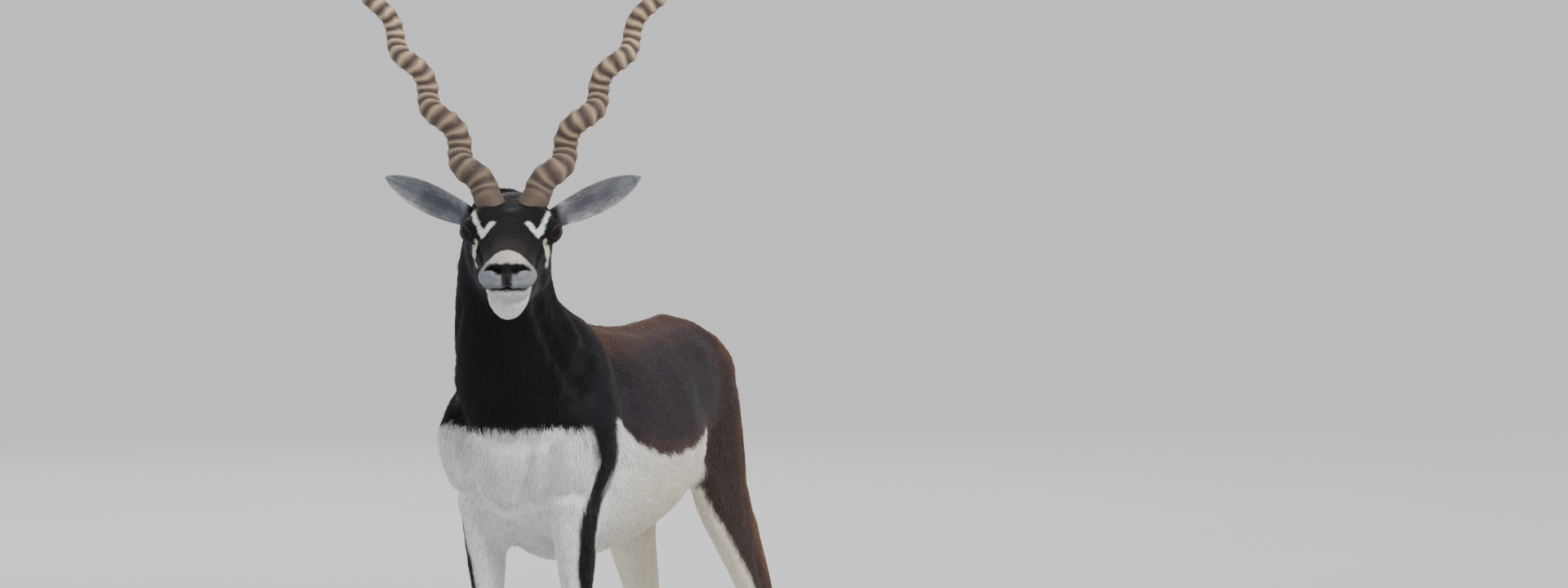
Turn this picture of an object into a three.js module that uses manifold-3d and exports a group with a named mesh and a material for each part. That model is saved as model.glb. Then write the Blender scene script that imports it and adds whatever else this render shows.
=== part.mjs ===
// A life-size male blackbuck that stands and turns its head to its left, in millimetres, +Z up.
// It faces -Y, its left side is +X, and its hooves stand on z = 0.
import * as THREE from "three";
import { mergeVertices } from "three/addons/utils/BufferGeometryUtils.js";
import Module from "manifold-3d";

const wasm = await Module();
wasm.setup();
const { Vector3, Matrix4, Euler } = THREE;

// Driving sizes
const WITHERS = 740; // height at the shoulders
const HEAD = 243; // poll to nose
const HORN = 500; // straight from base to tip
const EAR = 125; // root to tip
const GAP = 0.3; // between touching pieces

// Pose of the head
const POLL = [7.7, -32.7, 123.3]; // percent of WITHERS
const HEAD_YAW = 18.2; // degrees towards the left side
const HEAD_PITCH = 15; // degrees, nose down

// Feet set forwards or backwards, percent of WITHERS
const STRIDE = { fore_left: 0.8, fore_right: -0.8, hind_left: 1.6, hind_right: -3.2 };

// Body tables, percent of WITHERS
// Trunk from breast to buttock: back from the forelegs, top, bottom, half width, egg (wider above)
const TRUNK = [
  [-17.0, 79.6, 77.0, 1.8, 0],
  [-16.4, 81.6, 74.8, 4.4, 0],
  [-14.4, 85.0, 71.0, 7.6, 0],
  [-11.0, 90.6, 66.8, 9.4, 0.02],
  [-6.5, 95.6, 63.4, 10.4, 0.05],
  [0.0, 99.2, 60.4, 11.2, 0.08],
  [7.8, 100.0, 58.6, 12.4, 0.08],
  [18.3, 98.4, 58.2, 14.2, 0.03],
  [31.4, 96.8, 59.2, 15.2, -0.02],
  [44.4, 96.2, 61.8, 14.6, -0.04],
  [56.2, 96.6, 66.6, 12.4, -0.02],
  [65.4, 96.8, 70.4, 10.6, 0.02],
  [73.2, 95.4, 72.6, 9.4, 0.05],
  [79.6, 91.6, 74.2, 7.6, 0.05],
  [83.2, 87.6, 76.4, 5.2, 0],
  [84.8, 84.4, 79.0, 2.4, 0],
];
// Neck from shoulders to throat: station, left, back, up, half width, half depth
const NECK = [
  [0, 0.0, 6.5, 82.8, 12.4, 15.4],
  [1, 0.0, -2.8, 88.2, 12.4, 15.0],
  [2, 0.3, -11.6, 94.2, 10.8, 13.2],
  [3, 1.4, -19.8, 101.2, 8.8, 10.8],
  [4, 3.6, -26.8, 108.8, 7.6, 9.3],
  [5, 6.2, -32.2, 115.0, 7.0, 8.6],
  [6, 8.0, -35.2, 118.4, 5.8, 7.2],
];
// A foreleg from the ground up: height, front, back, inner side, outer side
const FORELEG = [
  [3.3, -8.6, -3.3, 5.9, 9.5],
  [6.3, -6.8, -2.5, 6.1, 9.3],
  [8.6, -5.8, -1.2, 5.9, 9.5],
  [10.6, -5.5, -1.1, 6.0, 9.4],
  [13.7, -5.1, -1.8, 6.3, 9.1],
  [19.6, -5.1, -2.1, 6.4, 9.0],
  [27.5, -5.4, -2.0, 6.3, 9.1],
  [31.1, -5.9, -1.3, 6.0, 9.4],
  [34.2, -6.4, -0.7, 5.6, 9.8],
  [37.3, -6.5, -0.8, 5.5, 9.8],
  [40.5, -6.1, -0.8, 5.6, 9.6],
  [45.8, -6.4, 0.0, 5.5, 9.7],
  [51.6, -7.1, 0.8, 5.4, 9.9],
  [55.4, -8.4, 1.4, 5.3, 10.1],
  [59.2, -10.0, 2.4, 5.1, 10.4],
  [63.6, -11.8, 3.6, 4.8, 10.6],
  [68.0, -13.1, 4.8, 4.5, 11.0],
  [71.0, -14.0, 6.0, 4.3, 11.8],
  [74.0, -14.7, 7.4, 4.1, 13.2],
  [77.8, -15.3, 8.6, 4.0, 14.2],
  [82.0, -15.3, 9.2, 3.9, 14.4],
  [86.0, -13.6, 9.4, 3.6, 13.6],
  [90.6, -9.6, 8.8, 3.1, 11.8],
  [94.6, -5.0, 7.2, 2.7, 9.2],
];
// A hind leg in the same way
const HINDLEG = [
  [3.3, 84.6, 90.0, 8.8, 12.4],
  [6.3, 86.6, 91.0, 9.0, 12.2],
  [8.6, 87.8, 92.4, 8.9, 12.4],
  [10.6, 88.2, 92.7, 9.0, 12.3],
  [13.7, 88.7, 92.1, 9.3, 12.0],
  [19.6, 88.9, 92.1, 9.3, 11.9],
  [26.8, 89.1, 92.7, 9.1, 12.0],
  [31.1, 88.8, 93.8, 8.8, 12.3],
  [34.2, 88.0, 95.0, 8.5, 12.6],
  [37.3, 86.0, 94.8, 8.5, 12.7],
  [41.2, 82.2, 93.4, 8.4, 12.8],
  [45.1, 78.0, 92.2, 8.1, 13.0],
  [49.7, 72.8, 90.0, 7.5, 13.0],
  [54.2, 67.6, 87.6, 6.8, 12.9],
  [58.0, 63.4, 86.2, 6.1, 12.7],
  [62.0, 60.2, 85.0, 5.2, 12.4],
  [66.3, 58.2, 84.0, 4.4, 12.0],
  [70.7, 57.5, 83.5, 3.8, 11.9],
  [75.8, 57.6, 83.0, 3.4, 11.7],
  [82.4, 58.6, 81.6, 3.1, 11.2],
  [88.9, 61.0, 79.4, 2.9, 10.0],
  [93.4, 64.4, 74.8, 2.6, 7.4],
];
// Heights at which a leg is parted: hoof, fetlock, knee or hock, elbow or stifle, top
const FORE_CUTS = [3.3, 10.9, 36.0, 57.5, 94.6];
const HIND_CUTS = [3.3, 10.9, 34.6, 59.0, 93.4];
// Tail from the rump to its tip: station, back, up, half width, half depth
const TAIL = [
  [0, 80.4, 90.6, 2.1, 1.9],
  [1, 84.0, 88.8, 2.3, 1.8],
  [2, 86.0, 84.0, 2.4, 1.6],
  [3, 86.4, 77.8, 2.2, 1.3],
  [4, 86.3, 71.8, 1.6, 1.0],
  [5, 86.1, 67.4, 0.8, 0.6],
  [6, 86.0, 65.2, 0.25, 0.25],
];

// Head table, percent of HEAD, from the poll to the nose: forward, top, bottom, half width
const SKULL = [
  [-5, -10, -30, 9, 0],
  [0, -3.6, -38.5, 15.4, 0],
  [8, 0, -44.5, 18.2, 0],
  [19, 1.4, -47.5, 19.8, 0.08],
  [30, 1.2, -46, 19.8, 0.16],
  [40, 0, -41, 18.6, 0.18],
  [50, -2.4, -36, 16.2, 0.1],
  [60, -4.4, -31.5, 13.2, 0],
  [70, -5.8, -28.5, 11.6, -0.05],
  [80, -6.6, -26.6, 11.2, -0.1],
  [87, -7.2, -26, 11.8, -0.16],
  [93, -8.0, -25.4, 11.6, -0.18],
  [97.2, -9.8, -23.8, 9.8, -0.16],
  [99.6, -13.2, -21, 5.4, 0],
  [100.6, -15.6, -18.8, 2, 0],
];
// Lower jaw in the same way, from the cheeks to the chin
const JAW = [
  [22, -30, -47.5, 12, 0.1],
  [34, -28, -48.5, 13.6, 0.1],
  [46, -25, -46.5, 12.8, 0.12],
  [58, -23, -43, 11.4, 0.14],
  [70, -22, -40.5, 10.4, 0.16],
  [80, -22, -39.4, 10.0, 0.2],
  [87, -22, -38, 9.4, 0.22],
  [92, -22.5, -34.5, 7.6, 0.2],
  [95, -24, -30, 4.4, 0.1],
];
const EYE_AT = [18.0, 40.0, -10.6]; // left, forward, up, percent of HEAD
const EYE_RADIUS = 14.5;
const GAZE = new Vector3(0.81, -0.57, 0.1).normalize();
const LID = 2.4; // thickness over the eyeball
const MOUTH = { height: -20.6, front: 103, corner: 74, drop: 11, open: 2, depth: 5 };

// A smooth curve through a table: for a value of its first column, the other columns
function curve(rows) {
  const slope = (i, column) => {
    const before = rows[Math.max(i - 1, 0)];
    const after = rows[Math.min(i + 1, rows.length - 1)];
    return (after[column] - before[column]) / (after[0] - before[0]);
  };
  return (value) => {
    let i = 0;
    while (i < rows.length - 2 && value > rows[i + 1][0]) i += 1;
    const span = rows[i + 1][0] - rows[i][0];
    const t = THREE.MathUtils.clamp((value - rows[i][0]) / span, 0, 1);
    const [t2, t3] = [t * t, t * t * t];
    return rows[i].slice(1).map((start, k) => {
      const end = rows[i + 1][k + 1];
      const rise = span * ((t3 - 2 * t2 + t) * slope(i, k + 1) + (t3 - t2) * slope(i + 1, k + 1));
      return start * (2 * t3 - 3 * t2 + 1) + end * (3 * t2 - 2 * t3) + rise;
    });
  };
}

// Evenly spaced values from one number to another
const steps = (from, to, count) =>
  Array.from({ length: count + 1 }, (_, i) => from + ((to - from) * i) / count);

// A closed ring of points about a centre, in the plane of two axes. Each axis has a reach to either
// side, the power squares the ellipse off, and egg widens the ring towards the second axis.
function ring(centre, across, up, reach, { sides = 20, power = 2, egg = 0 } = {}) {
  const [right, left, top, bottom] = reach;
  return steps(0, 2 * Math.PI, sides)
    .slice(0, -1)
    .map((angle) => {
      const [c, s] = [Math.cos(angle), Math.sin(angle)];
      const x = Math.sign(c) * Math.abs(c) ** (2 / power) * (c > 0 ? right : left) * (1 + egg * s);
      const y = Math.sign(s) * Math.abs(s) ** (2 / power) * (s > 0 ? top : bottom);
      return centre.clone().addScaledVector(across, x).addScaledVector(up, y);
    });
}

// A skin over a row of rings, closed at both ends
function loft(rings) {
  const count = rings[0].length;
  const centre = (points) =>
    points.reduce((sum, p) => sum.add(p), new Vector3()).divideScalar(points.length);
  const points = [...rings.flat(), centre(rings[0]), centre(rings.at(-1))];
  const faces = [];
  for (let i = 0; i < rings.length - 1; i += 1)
    for (let j = 0; j < count; j += 1) {
      const [a, b] = [i * count + j, i * count + ((j + 1) % count)];
      faces.push(a, b, b + count, a, b + count, a + count);
    }
  const last = (rings.length - 1) * count;
  for (let j = 0; j < count; j += 1) {
    const next = (j + 1) % count;
    faces.push(rings.length * count, next, j);
    faces.push(rings.length * count + 1, last + j, last + next);
  }
  const geometry = new THREE.BufferGeometry().setFromPoints(points);
  geometry.setIndex(faces);
  return geometry;
}

// A geometry as a closed solid with its faces pointing out
function solid(geometry) {
  const bare = new THREE.BufferGeometry().setAttribute("position", geometry.getAttribute("position"));
  bare.setIndex(geometry.index);
  const merged = mergeVertices(bare, 1e-4);
  const vertProperties = merged.attributes.position.array;
  const triVerts = new Uint32Array(merged.index.array);
  const made = new wasm.Manifold(new wasm.Mesh({ numProp: 3, vertProperties, triVerts }));
  if (made.volume() > 0) return made;
  for (let i = 0; i < triVerts.length; i += 3)
    [triVerts[i + 1], triVerts[i + 2]] = [triVerts[i + 2], triVerts[i + 1]];
  return new wasm.Manifold(new wasm.Mesh({ numProp: 3, vertProperties, triVerts }));
}

// The largest closed surface of a solid, as a geometry
function geometryOf(made) {
  const [body] = made.decompose().sort((a, b) => b.volume() - a.volume());
  const { vertProperties, triVerts, numProp, numVert } = body.getMesh();
  const position = new Float32Array(numVert * 3);
  for (let i = 0; i < numVert; i += 1)
    position.set(vertProperties.subarray(i * numProp, i * numProp + 3), i * 3);
  const geometry = new THREE.BufferGeometry();
  geometry.setAttribute("position", new THREE.BufferAttribute(position, 3));
  geometry.setIndex(new THREE.BufferAttribute(triVerts, 1));
  geometry.computeVertexNormals();
  return geometry;
}

// An egg of given radii about a point, optionally turned
function egg(radii, at, turn = new Euler(), detail = 12) {
  const shape = new THREE.SphereGeometry(1, detail, Math.round(detail * 0.7));
  shape.scale(...radii);
  shape.applyMatrix4(new Matrix4().makeRotationFromEuler(turn));
  shape.translate(...at);
  return solid(shape);
}

const percent = WITHERS / 100;
const X = new Vector3(1, 0, 0);
const Y = new Vector3(0, 1, 0);
const Z = new Vector3(0, 0, 1);

// The trunk, with the sheath and scrotum of a male, grown by a margin on every side
function trunk(grow = 0) {
  const at = curve(TRUNK);
  const ends = [-17, -16.4, -15.2, -13.6];
  const rings = [...ends, ...steps(-11, 80, 17), 82.2, 83.8, 84.8].map((back) => {
    const [top, bottom, half, shape] = at(back);
    const centre = new Vector3(0, back, (top + bottom) / 2).multiplyScalar(percent);
    const [wide, tall] = [half * percent + grow, ((top - bottom) / 2) * percent + grow];
    return ring(centre, X, Z, [wide, wide, tall, tall], { sides: 22, power: 2.15, egg: shape });
  });
  const sheath = egg([13 + grow, 62 + grow, 12 + grow], [0, 56 * percent, 63.8 * percent]);
  const scrotum = egg([18 + grow, 22 + grow, 30 + grow], [0, 76 * percent, 70.5 * percent]);
  return solid(loft(rings)).add(sheath).add(scrotum);
}

// A tube along part of a curve, its rings square to its path. For a station the curve gives the
// centre and the two half sizes in percent of WITHERS.
function tube(at, from, to, slices, grow, options) {
  const rings = steps(from, to, slices).map((station) => {
    const { centre, half, depth } = at(station);
    const path = at(station + 0.05).centre.sub(at(station - 0.05).centre).normalize();
    const across = new Vector3().crossVectors(path, Z).normalize();
    const up = new Vector3().crossVectors(across, path);
    const [wide, deep] = [half * percent + grow, depth * percent + grow];
    return ring(centre.multiplyScalar(percent), across, up, [wide, wide, deep, deep], options);
  });
  return solid(loft(rings));
}

const COLLAR = 2; // station at which the neck is parted from the torso
function neck(from, to, slices, grow = 0) {
  const stations = curve(NECK);
  const at = (station) => {
    const [left, back, up, half, depth] = stations(station);
    return { centre: new Vector3(left, back, up), half, depth };
  };
  return tube(at, from, to, slices, grow, { sides: 20, power: 2.1 });
}

function tail() {
  const stations = curve(TAIL);
  const at = (station) => {
    const [back, up, half, depth] = stations(station);
    return { centre: new Vector3(0, back, up), half, depth };
  };
  return tube(at, 0, TAIL.length - 1, 12, 0, { sides: 10 });
}

// A leg between two heights, as level slices that shift with the stride towards the ground
const HIP = 85; // height a leg swings from
function limb(table, side, stride, from, to, slices, grow = 0) {
  const at = curve(table);
  const rings = steps(from, to, slices).map((height) => {
    const [front, back, inner, outer] = at(height);
    const shift = stride * Math.max(0, 1 - height / HIP);
    const centre = new Vector3((side * (inner + outer)) / 2, (front + back) / 2 + shift, height);
    const [wide, long] = [(outer - inner) / 2, (back - front) / 2].map((r) => r * percent + grow);
    return ring(centre.multiplyScalar(percent), X, Y, [wide, wide, long, long], {
      sides: 12,
      power: 2.15,
    });
  });
  return solid(loft(rings));
}

// One toe of a cloven hoof: flat below, pointed forwards, sloping at the front
function hoof(toeX, heelY, inward) {
  const rows = [
    [0, 33, 13, 8.2],
    [7, 31.5, 13.5, 8.4],
    [15, 26, 13, 7.9],
    [3.3 * percent - GAP, 18.5, 11, 7.0],
  ];
  const rings = rows.map(([height, front, back, half]) =>
    ring(new Vector3(toeX, heelY, height), X, Y, [half, half, back, front], {
      sides: 12,
      power: 1.75,
    }),
  );
  const shape = loft(rings);
  const position = shape.getAttribute("position");
  for (let i = 0; i < position.count; i += 1) {
    const reach = Math.max(0, heelY - position.getY(i)) / 33;
    position.setX(i, position.getX(i) - inward * 2.4 * reach * reach);
  }
  return solid(shape);
}

// A head part's place: left, forward and up of the poll, in percent of HEAD
const onHead = (left, forward, up) => new Vector3(left, -forward, up).multiplyScalar(HEAD / 100);

// A part of the head along its length, from a table of percent of HEAD
function headLoft(table, stops, grow, sides) {
  const at = curve(table);
  const rings = stops.map((forward) => {
    const [top, bottom, half, shape] = at(forward);
    const centre = onHead(0, forward, 0).setZ((((top + bottom) / 2) * HEAD) / 100);
    const [wide, tall] = [half, (top - bottom) / 2].map((share) => (share * HEAD) / 100 + grow);
    return ring(centre, X, Z, [wide, wide, tall, tall], { sides, power: 2.2, egg: shape });
  });
  return solid(loft(rings));
}

// The skull with its jaw, brows, cheeks and lips, grown by a margin on every side
const SKULL_STOPS = [-5, -1, 6, 15, 24, 33, 42, 50, 58, 66, 74, 82, 88, 93, 96.5, 98.6, 99.8, 100.6];
function skull(grow = 0) {
  const jaw = headLoft(JAW, [22, 32, 42, 52, 62, 72, 80, 87, 91.5, 95], grow, 14);
  let made = headLoft(SKULL, SKULL_STOPS, grow, 20).add(jaw);
  const grown = (radii) => radii.map((radius) => radius + grow);
  for (const side of [-1, 1]) {
    const place = (left, forward, up) => onHead(side * left, forward, up).toArray();
    made = made
      .add(egg(grown([20, 34, 11]), place(12, 35, -5.8), new Euler(0, side * 0.35, 0), 10))
      .add(egg(grown([14, 36, 27]), place(13.4, 26, -33), new Euler(), 10))
      .add(egg(grown([9, 30, 10]), place(9.7, 86, -17), new Euler(0.04, 0, 0), 9))
      .add(egg(grown([8, 26, 9]), place(6.8, 81, -26), new Euler(0.04, 0, 0), 9));
  }
  return made;
}

// The groove between the lips, cut no deeper than the mouth's depth
function mouthGroove() {
  const { height, front, corner, drop, open, depth } = MOUTH;
  const [y0, y1, z] = [front, corner, height].map((share) => (share * HEAD) / 100);
  const line = new THREE.Shape();
  line.moveTo(-y0, z - open / 2);
  line.quadraticCurveTo(-(y0 + y1) / 2, z - open / 2 - drop * 0.3, -y1, z - drop);
  line.lineTo(-y1, z - drop + open / 2);
  line.quadraticCurveTo(-(y0 + y1) / 2, z + open / 2 - drop * 0.3, -y0, z + open / 2);
  line.closePath();
  const slab = new THREE.ExtrudeGeometry(line, { depth: HEAD / 2, bevelEnabled: false, curveSegments: 4 });
  slab.translate(0, 0, -HEAD / 4);
  slab.applyMatrix4(new Matrix4().makeBasis(Y, Z, X));
  const bare = new THREE.BufferGeometry().setAttribute("position", slab.getAttribute("position"));
  const core = headLoft(SKULL, [60, 70, 80, 88, 93, 96.5, 98.8, 100], -depth, 12);
  return solid(mergeVertices(bare, 1e-4)).subtract(core);
}

// The head with its lids, the sockets of the eyes, nostrils and mouth
function head() {
  let made = skull();
  for (const side of [-1, 1]) {
    const eye = onHead(side * EYE_AT[0], EYE_AT[1], EYE_AT[2]);
    const gaze = new Vector3(side * GAZE.x, GAZE.y, GAZE.z);
    const slit = eye.clone().addScaledVector(gaze, EYE_RADIUS + LID);
    const nostril = onHead(side * 5.6, 96.6, -11.4).toArray();
    made = made
      .add(egg(Array(3).fill(EYE_RADIUS + LID), eye.toArray(), new Euler(), 12))
      .subtract(egg([11.5, 14, 9.4], slit.toArray(), new Euler(-0.2, 0, side * -0.53), 10))
      .subtract(egg(Array(3).fill(EYE_RADIUS + GAP), eye.toArray(), new Euler(), 12))
      .subtract(egg([3.4, 9, 5.6], nostril, new Euler(0, side * 0.6, side * 0.6), 8));
  }
  return made.subtract(mouthGroove());
}

// A cupped ear: a leaf with a hollow scooped from the side that faces forwards
// Share of the length, half width, half depth
const EAR_ROWS = [
  [0, 10.5, 10.5],
  [0.12, 12.4, 11.5],
  [0.3, 16.2, 10],
  [0.5, 18.4, 7.8],
  [0.7, 16.8, 5.4],
  [0.85, 11.8, 3.6],
  [0.95, 5.8, 2.2],
  [1, 1.2, 1.0],
];
const EAR_ROOT = [15.0, 15.5, -14.5]; // left, forward, up, percent of HEAD
const EAR_WALL = 2.2;

function ear(side) {
  const along = new Vector3(side * 0.9, 0.22, 0.385).normalize();
  const open = new Vector3(side * 0.28, -1, 0.12).projectOnPlane(along).normalize();
  const across = new Vector3().crossVectors(along, open);
  const root = onHead(side * EAR_ROOT[0], EAR_ROOT[1], EAR_ROOT[2]);
  const at = curve(EAR_ROWS);
  const leaf = (from, to, thinner, forwards) =>
    solid(
      loft(
        steps(from, to, 9).map((share) => {
          const [half, depth] = at(share);
          const centre = root.clone().addScaledVector(along, share * EAR);
          centre.addScaledVector(open, forwards * depth);
          const wide = Math.max(half - thinner, 0.4);
          return ring(centre, across, open, [wide, wide, depth, depth], { sides: 12 });
        }),
      ),
    );
  return leaf(0, 1, 0, 0).subtract(leaf(0.2, 0.975, EAR_WALL, 0.72));
}

// A horn: a corkscrew path about a straight axis, with raised rings up to its smooth tip
const HORN_AT = [11.4, 24.5, 0.8]; // left, forward, up, percent of HEAD
const HORN_LEAN = [0.482, 0.529, 0.7]; // left, back, up, in the head's own frame
const HORN_PITCH = 79; // of the corkscrew, along its axis
const HORN_PHASE = 2.35; // of its start, in radians
const HORN_SWING = 6.4; // of its middle, from its axis
const HORN_RINGS = 30;
const HORN_RINGED = 0.78; // share of the length
// Share of the length, radius
const HORN_ROWS = [
  [-0.06, 16],
  [0, 18],
  [0.06, 17.6],
  [0.14, 15.2],
  [0.3, 13.2],
  [0.45, 11.2],
  [0.6, 9.2],
  [0.75, 7.1],
  [0.88, 4.9],
  [0.96, 2.9],
  [1, 1.1],
];

function horn(side) {
  const axis = new Vector3(side * HORN_LEAN[0], HORN_LEAN[1], HORN_LEAN[2]).normalize();
  const outward = new Vector3(side, 0, 0).projectOnPlane(axis).normalize();
  const forward = new Vector3().crossVectors(outward, axis).multiplyScalar(side);
  const root = onHead(side * HORN_AT[0], HORN_AT[1], HORN_AT[2]);
  const radiusAt = curve(HORN_ROWS);
  const point = (share) => {
    const held = THREE.MathUtils.clamp(share, 0, 1);
    const turns = ((held - 0.17 * held ** 5) * HORN) / HORN_PITCH;
    const turn = 2 * Math.PI * turns + HORN_PHASE;
    const swing = HORN_SWING * Math.min(1, held * 14) * (1 - held ** 2.4);
    return root
      .clone()
      .addScaledVector(axis, share * HORN)
      .addScaledVector(outward, swing * Math.cos(turn))
      .addScaledVector(forward, -swing * Math.sin(turn));
  };
  const ringed = steps(0.01, HORN_RINGED, HORN_RINGS * 2).map((share, i) => {
    const ridge = 1.5 * (1 - share * 0.7);
    return { share, relief: i % 2 ? ridge : -0.4 * ridge };
  });
  const tip = steps(HORN_RINGED, 0.999, 8).slice(1).map((share) => ({ share, relief: 0 }));
  const rings = [{ share: -0.05, relief: 0 }, ...ringed, ...tip].map(({ share, relief }) => {
    const path = point(share + 0.001).sub(point(share - 0.001)).normalize();
    const across = new Vector3().crossVectors(path, forward).normalize();
    const up = new Vector3().crossVectors(across, path);
    const radius = radiusAt(share)[0] + relief;
    return ring(point(share), across, up, Array(4).fill(radius), { sides: 8 });
  });
  return solid(loft(rings));
}

const COLOURS = {
  dark_coat: { color: 0x15131a, roughness: 0.75 },
  white_coat: { color: 0xe6e2dc, roughness: 0.85 },
  ear_skin: { color: 0x6a686e, roughness: 0.85 },
  horn: { color: 0x8d7558, roughness: 0.6 },
  hoof: { color: 0x1c1a19, roughness: 0.5 },
  eye: { color: 0x1c0f0a, roughness: 0.1 },
};

function piece(name, made, finish) {
  const material = new THREE.MeshStandardMaterial({ ...COLOURS[finish], metalness: 0 });
  const mesh = new THREE.Mesh(geometryOf(made), material);
  mesh.name = name;
  return mesh;
}

// Each leg is parted at its joints; above the last cut it belongs to the torso
const LEGS = {
  fore: { table: FORELEG, cuts: FORE_CUTS, names: ["pastern", "cannon", "forearm"] },
  hind: { table: HINDLEG, cuts: HIND_CUTS, names: ["pastern", "cannon", "gaskin"] },
};
const SLICES = [4, 8, 9, 12];
const SIDES = [["left", 1], ["right", -1]];

// The torso with the base of the neck, the shoulders and the thighs
function torso(grow = 0) {
  let made = trunk(grow).add(neck(0, COLLAR, 5, grow));
  for (const [end, { table, cuts }] of Object.entries(LEGS))
    for (const [name, side] of SIDES) {
      const stride = STRIDE[`${end}_${name}`];
      made = made.add(limb(table, side, stride, cuts[3] + GAP / percent, cuts[4], SLICES[3], grow));
    }
  return made;
}

const animal = new THREE.Group();

// The head and what it carries share one turned group
const headFrame = new THREE.Group();
headFrame.position.fromArray(POLL).multiplyScalar(percent);
const [pitch, yaw] = [HEAD_PITCH, HEAD_YAW].map(THREE.MathUtils.degToRad);
headFrame.rotation.set(pitch, 0, yaw, "ZYX");
headFrame.updateMatrix();
const grownHead = skull(GAP);
const toHead = headFrame.matrix.clone().invert().elements;
const neckBehind = neck(COLLAR, 6, 9, GAP).transform(toHead);
headFrame.add(piece("head", head(), "dark_coat"));
for (const [name, side] of SIDES) {
  const eye = onHead(side * EYE_AT[0], EYE_AT[1], EYE_AT[2]).toArray();
  const ball = egg(Array(3).fill(EYE_RADIUS), eye, new Euler(), 12);
  const shell = ear(side).subtract(grownHead).subtract(neckBehind);
  headFrame.add(piece(`eye_${name}`, ball, "eye"));
  headFrame.add(piece(`ear_${name}`, shell, "ear_skin"));
  headFrame.add(piece(`horn_${name}`, horn(side).subtract(grownHead), "horn"));
}
animal.add(headFrame);

const collar = COLLAR + 0.004;
const throat = neck(collar, 6, 9).subtract(grownHead.transform(headFrame.matrix.elements));
animal.add(piece("torso", torso(), "white_coat"));
animal.add(piece("neck", throat, "dark_coat"));
animal.add(piece("tail", tail().subtract(torso(GAP)), "dark_coat"));

// A foot has two hooves, with two dewclaws behind its fetlock
function foot(leg, table, side, stride, height) {
  const grown = limb(table, side, stride, height, FORE_CUTS[1], SLICES[0], GAP);
  const [front, back, inner, outer] = curve(table)(height);
  const heel = ((front + back) / 2 + stride * (1 - height / HIP)) * percent + 4;
  const middle = (side * (inner + outer) * percent) / 2;
  const [, fetlock] = curve(table)(8.9);
  for (const [toe, out] of [["inner", -side], ["outer", side]]) {
    const clawAt = [middle + out * 8.5, (fetlock + stride * 0.9) * percent, 8.3 * percent];
    const claw = egg([4.6, 6.5, 8.5], clawAt, new Euler(-0.5, 0, 0), 8).subtract(grown);
    animal.add(piece(`${leg}_hoof_${toe}`, hoof(middle + out * 8.9, heel, out), "hoof"));
    animal.add(piece(`${leg}_dewclaw_${toe}`, claw, "hoof"));
  }
}

for (const [end, { table, cuts, names }] of Object.entries(LEGS))
  for (const [name, side] of SIDES) {
    const leg = `${end}_${name}`;
    names.forEach((part, i) => {
      const from = cuts[i] + (i ? GAP / percent : 0);
      const made = limb(table, side, STRIDE[leg], from, cuts[i + 1], SLICES[i]);
      animal.add(piece(`${leg}_${part}`, made, "white_coat"));
    });
    foot(leg, table, side, STRIDE[leg], cuts[0]);
  }

// The origin is on the ground under the middle of the animal's box
animal.updateMatrixWorld(true);
const middle = new THREE.Box3().setFromObject(animal, true).getCenter(new Vector3());
animal.position.set(-middle.x, -middle.y, 0);

export default animal;
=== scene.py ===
"""A male blackbuck antelope at life size: one skin with a short coat over it, ringed spiral horns, eyes,
ears and hooves."""

import math

import bpy
import numpy as np
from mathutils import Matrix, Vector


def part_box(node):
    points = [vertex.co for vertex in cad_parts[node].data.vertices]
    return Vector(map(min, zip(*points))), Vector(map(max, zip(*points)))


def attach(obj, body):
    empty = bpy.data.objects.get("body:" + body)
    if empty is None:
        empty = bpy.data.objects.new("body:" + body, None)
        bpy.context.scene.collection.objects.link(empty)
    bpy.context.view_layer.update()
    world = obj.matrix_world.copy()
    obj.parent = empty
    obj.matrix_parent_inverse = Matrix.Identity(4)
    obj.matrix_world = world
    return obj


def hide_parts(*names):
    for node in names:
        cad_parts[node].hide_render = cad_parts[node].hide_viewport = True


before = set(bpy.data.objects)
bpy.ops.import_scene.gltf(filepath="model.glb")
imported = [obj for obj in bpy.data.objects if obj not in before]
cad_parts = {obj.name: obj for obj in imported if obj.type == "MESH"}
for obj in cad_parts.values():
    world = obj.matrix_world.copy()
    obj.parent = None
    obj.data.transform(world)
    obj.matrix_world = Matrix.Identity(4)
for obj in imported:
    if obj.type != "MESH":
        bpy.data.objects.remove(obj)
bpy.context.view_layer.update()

# Sizes
PERCENT = 0.0074  # a hundredth of the height at the withers, in metres
PERCENT_MM = 1000 * PERCENT  # the same in millimetres, for the feet
HEAD_PERCENT = 0.00243  # a hundredth of the head's length
HORN_LENGTH, EAR_LENGTH = 0.5, 0.125
POLL = np.array([7.7, -32.7, 123.3]) * PERCENT
HEAD_YAW, HEAD_PITCH = math.radians(18.2), math.radians(15)
HIP = 85.0  # the height a leg swings from
# How far back each foot is set
STRIDE = {"fore_left": 0.8, "fore_right": -0.8, "hind_left": 1.6, "hind_right": -3.2}
SIDES = {"left": 1.0, "right": -1.0}
TOES = ("inner", "outer")
SKIN_VOXEL = 0.0052
COAT_SHARE = 1.0
TUFT_COUNT = int(142000 * COAT_SHARE)
FAR = 99.0  # stands for a distance too great to matter

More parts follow.
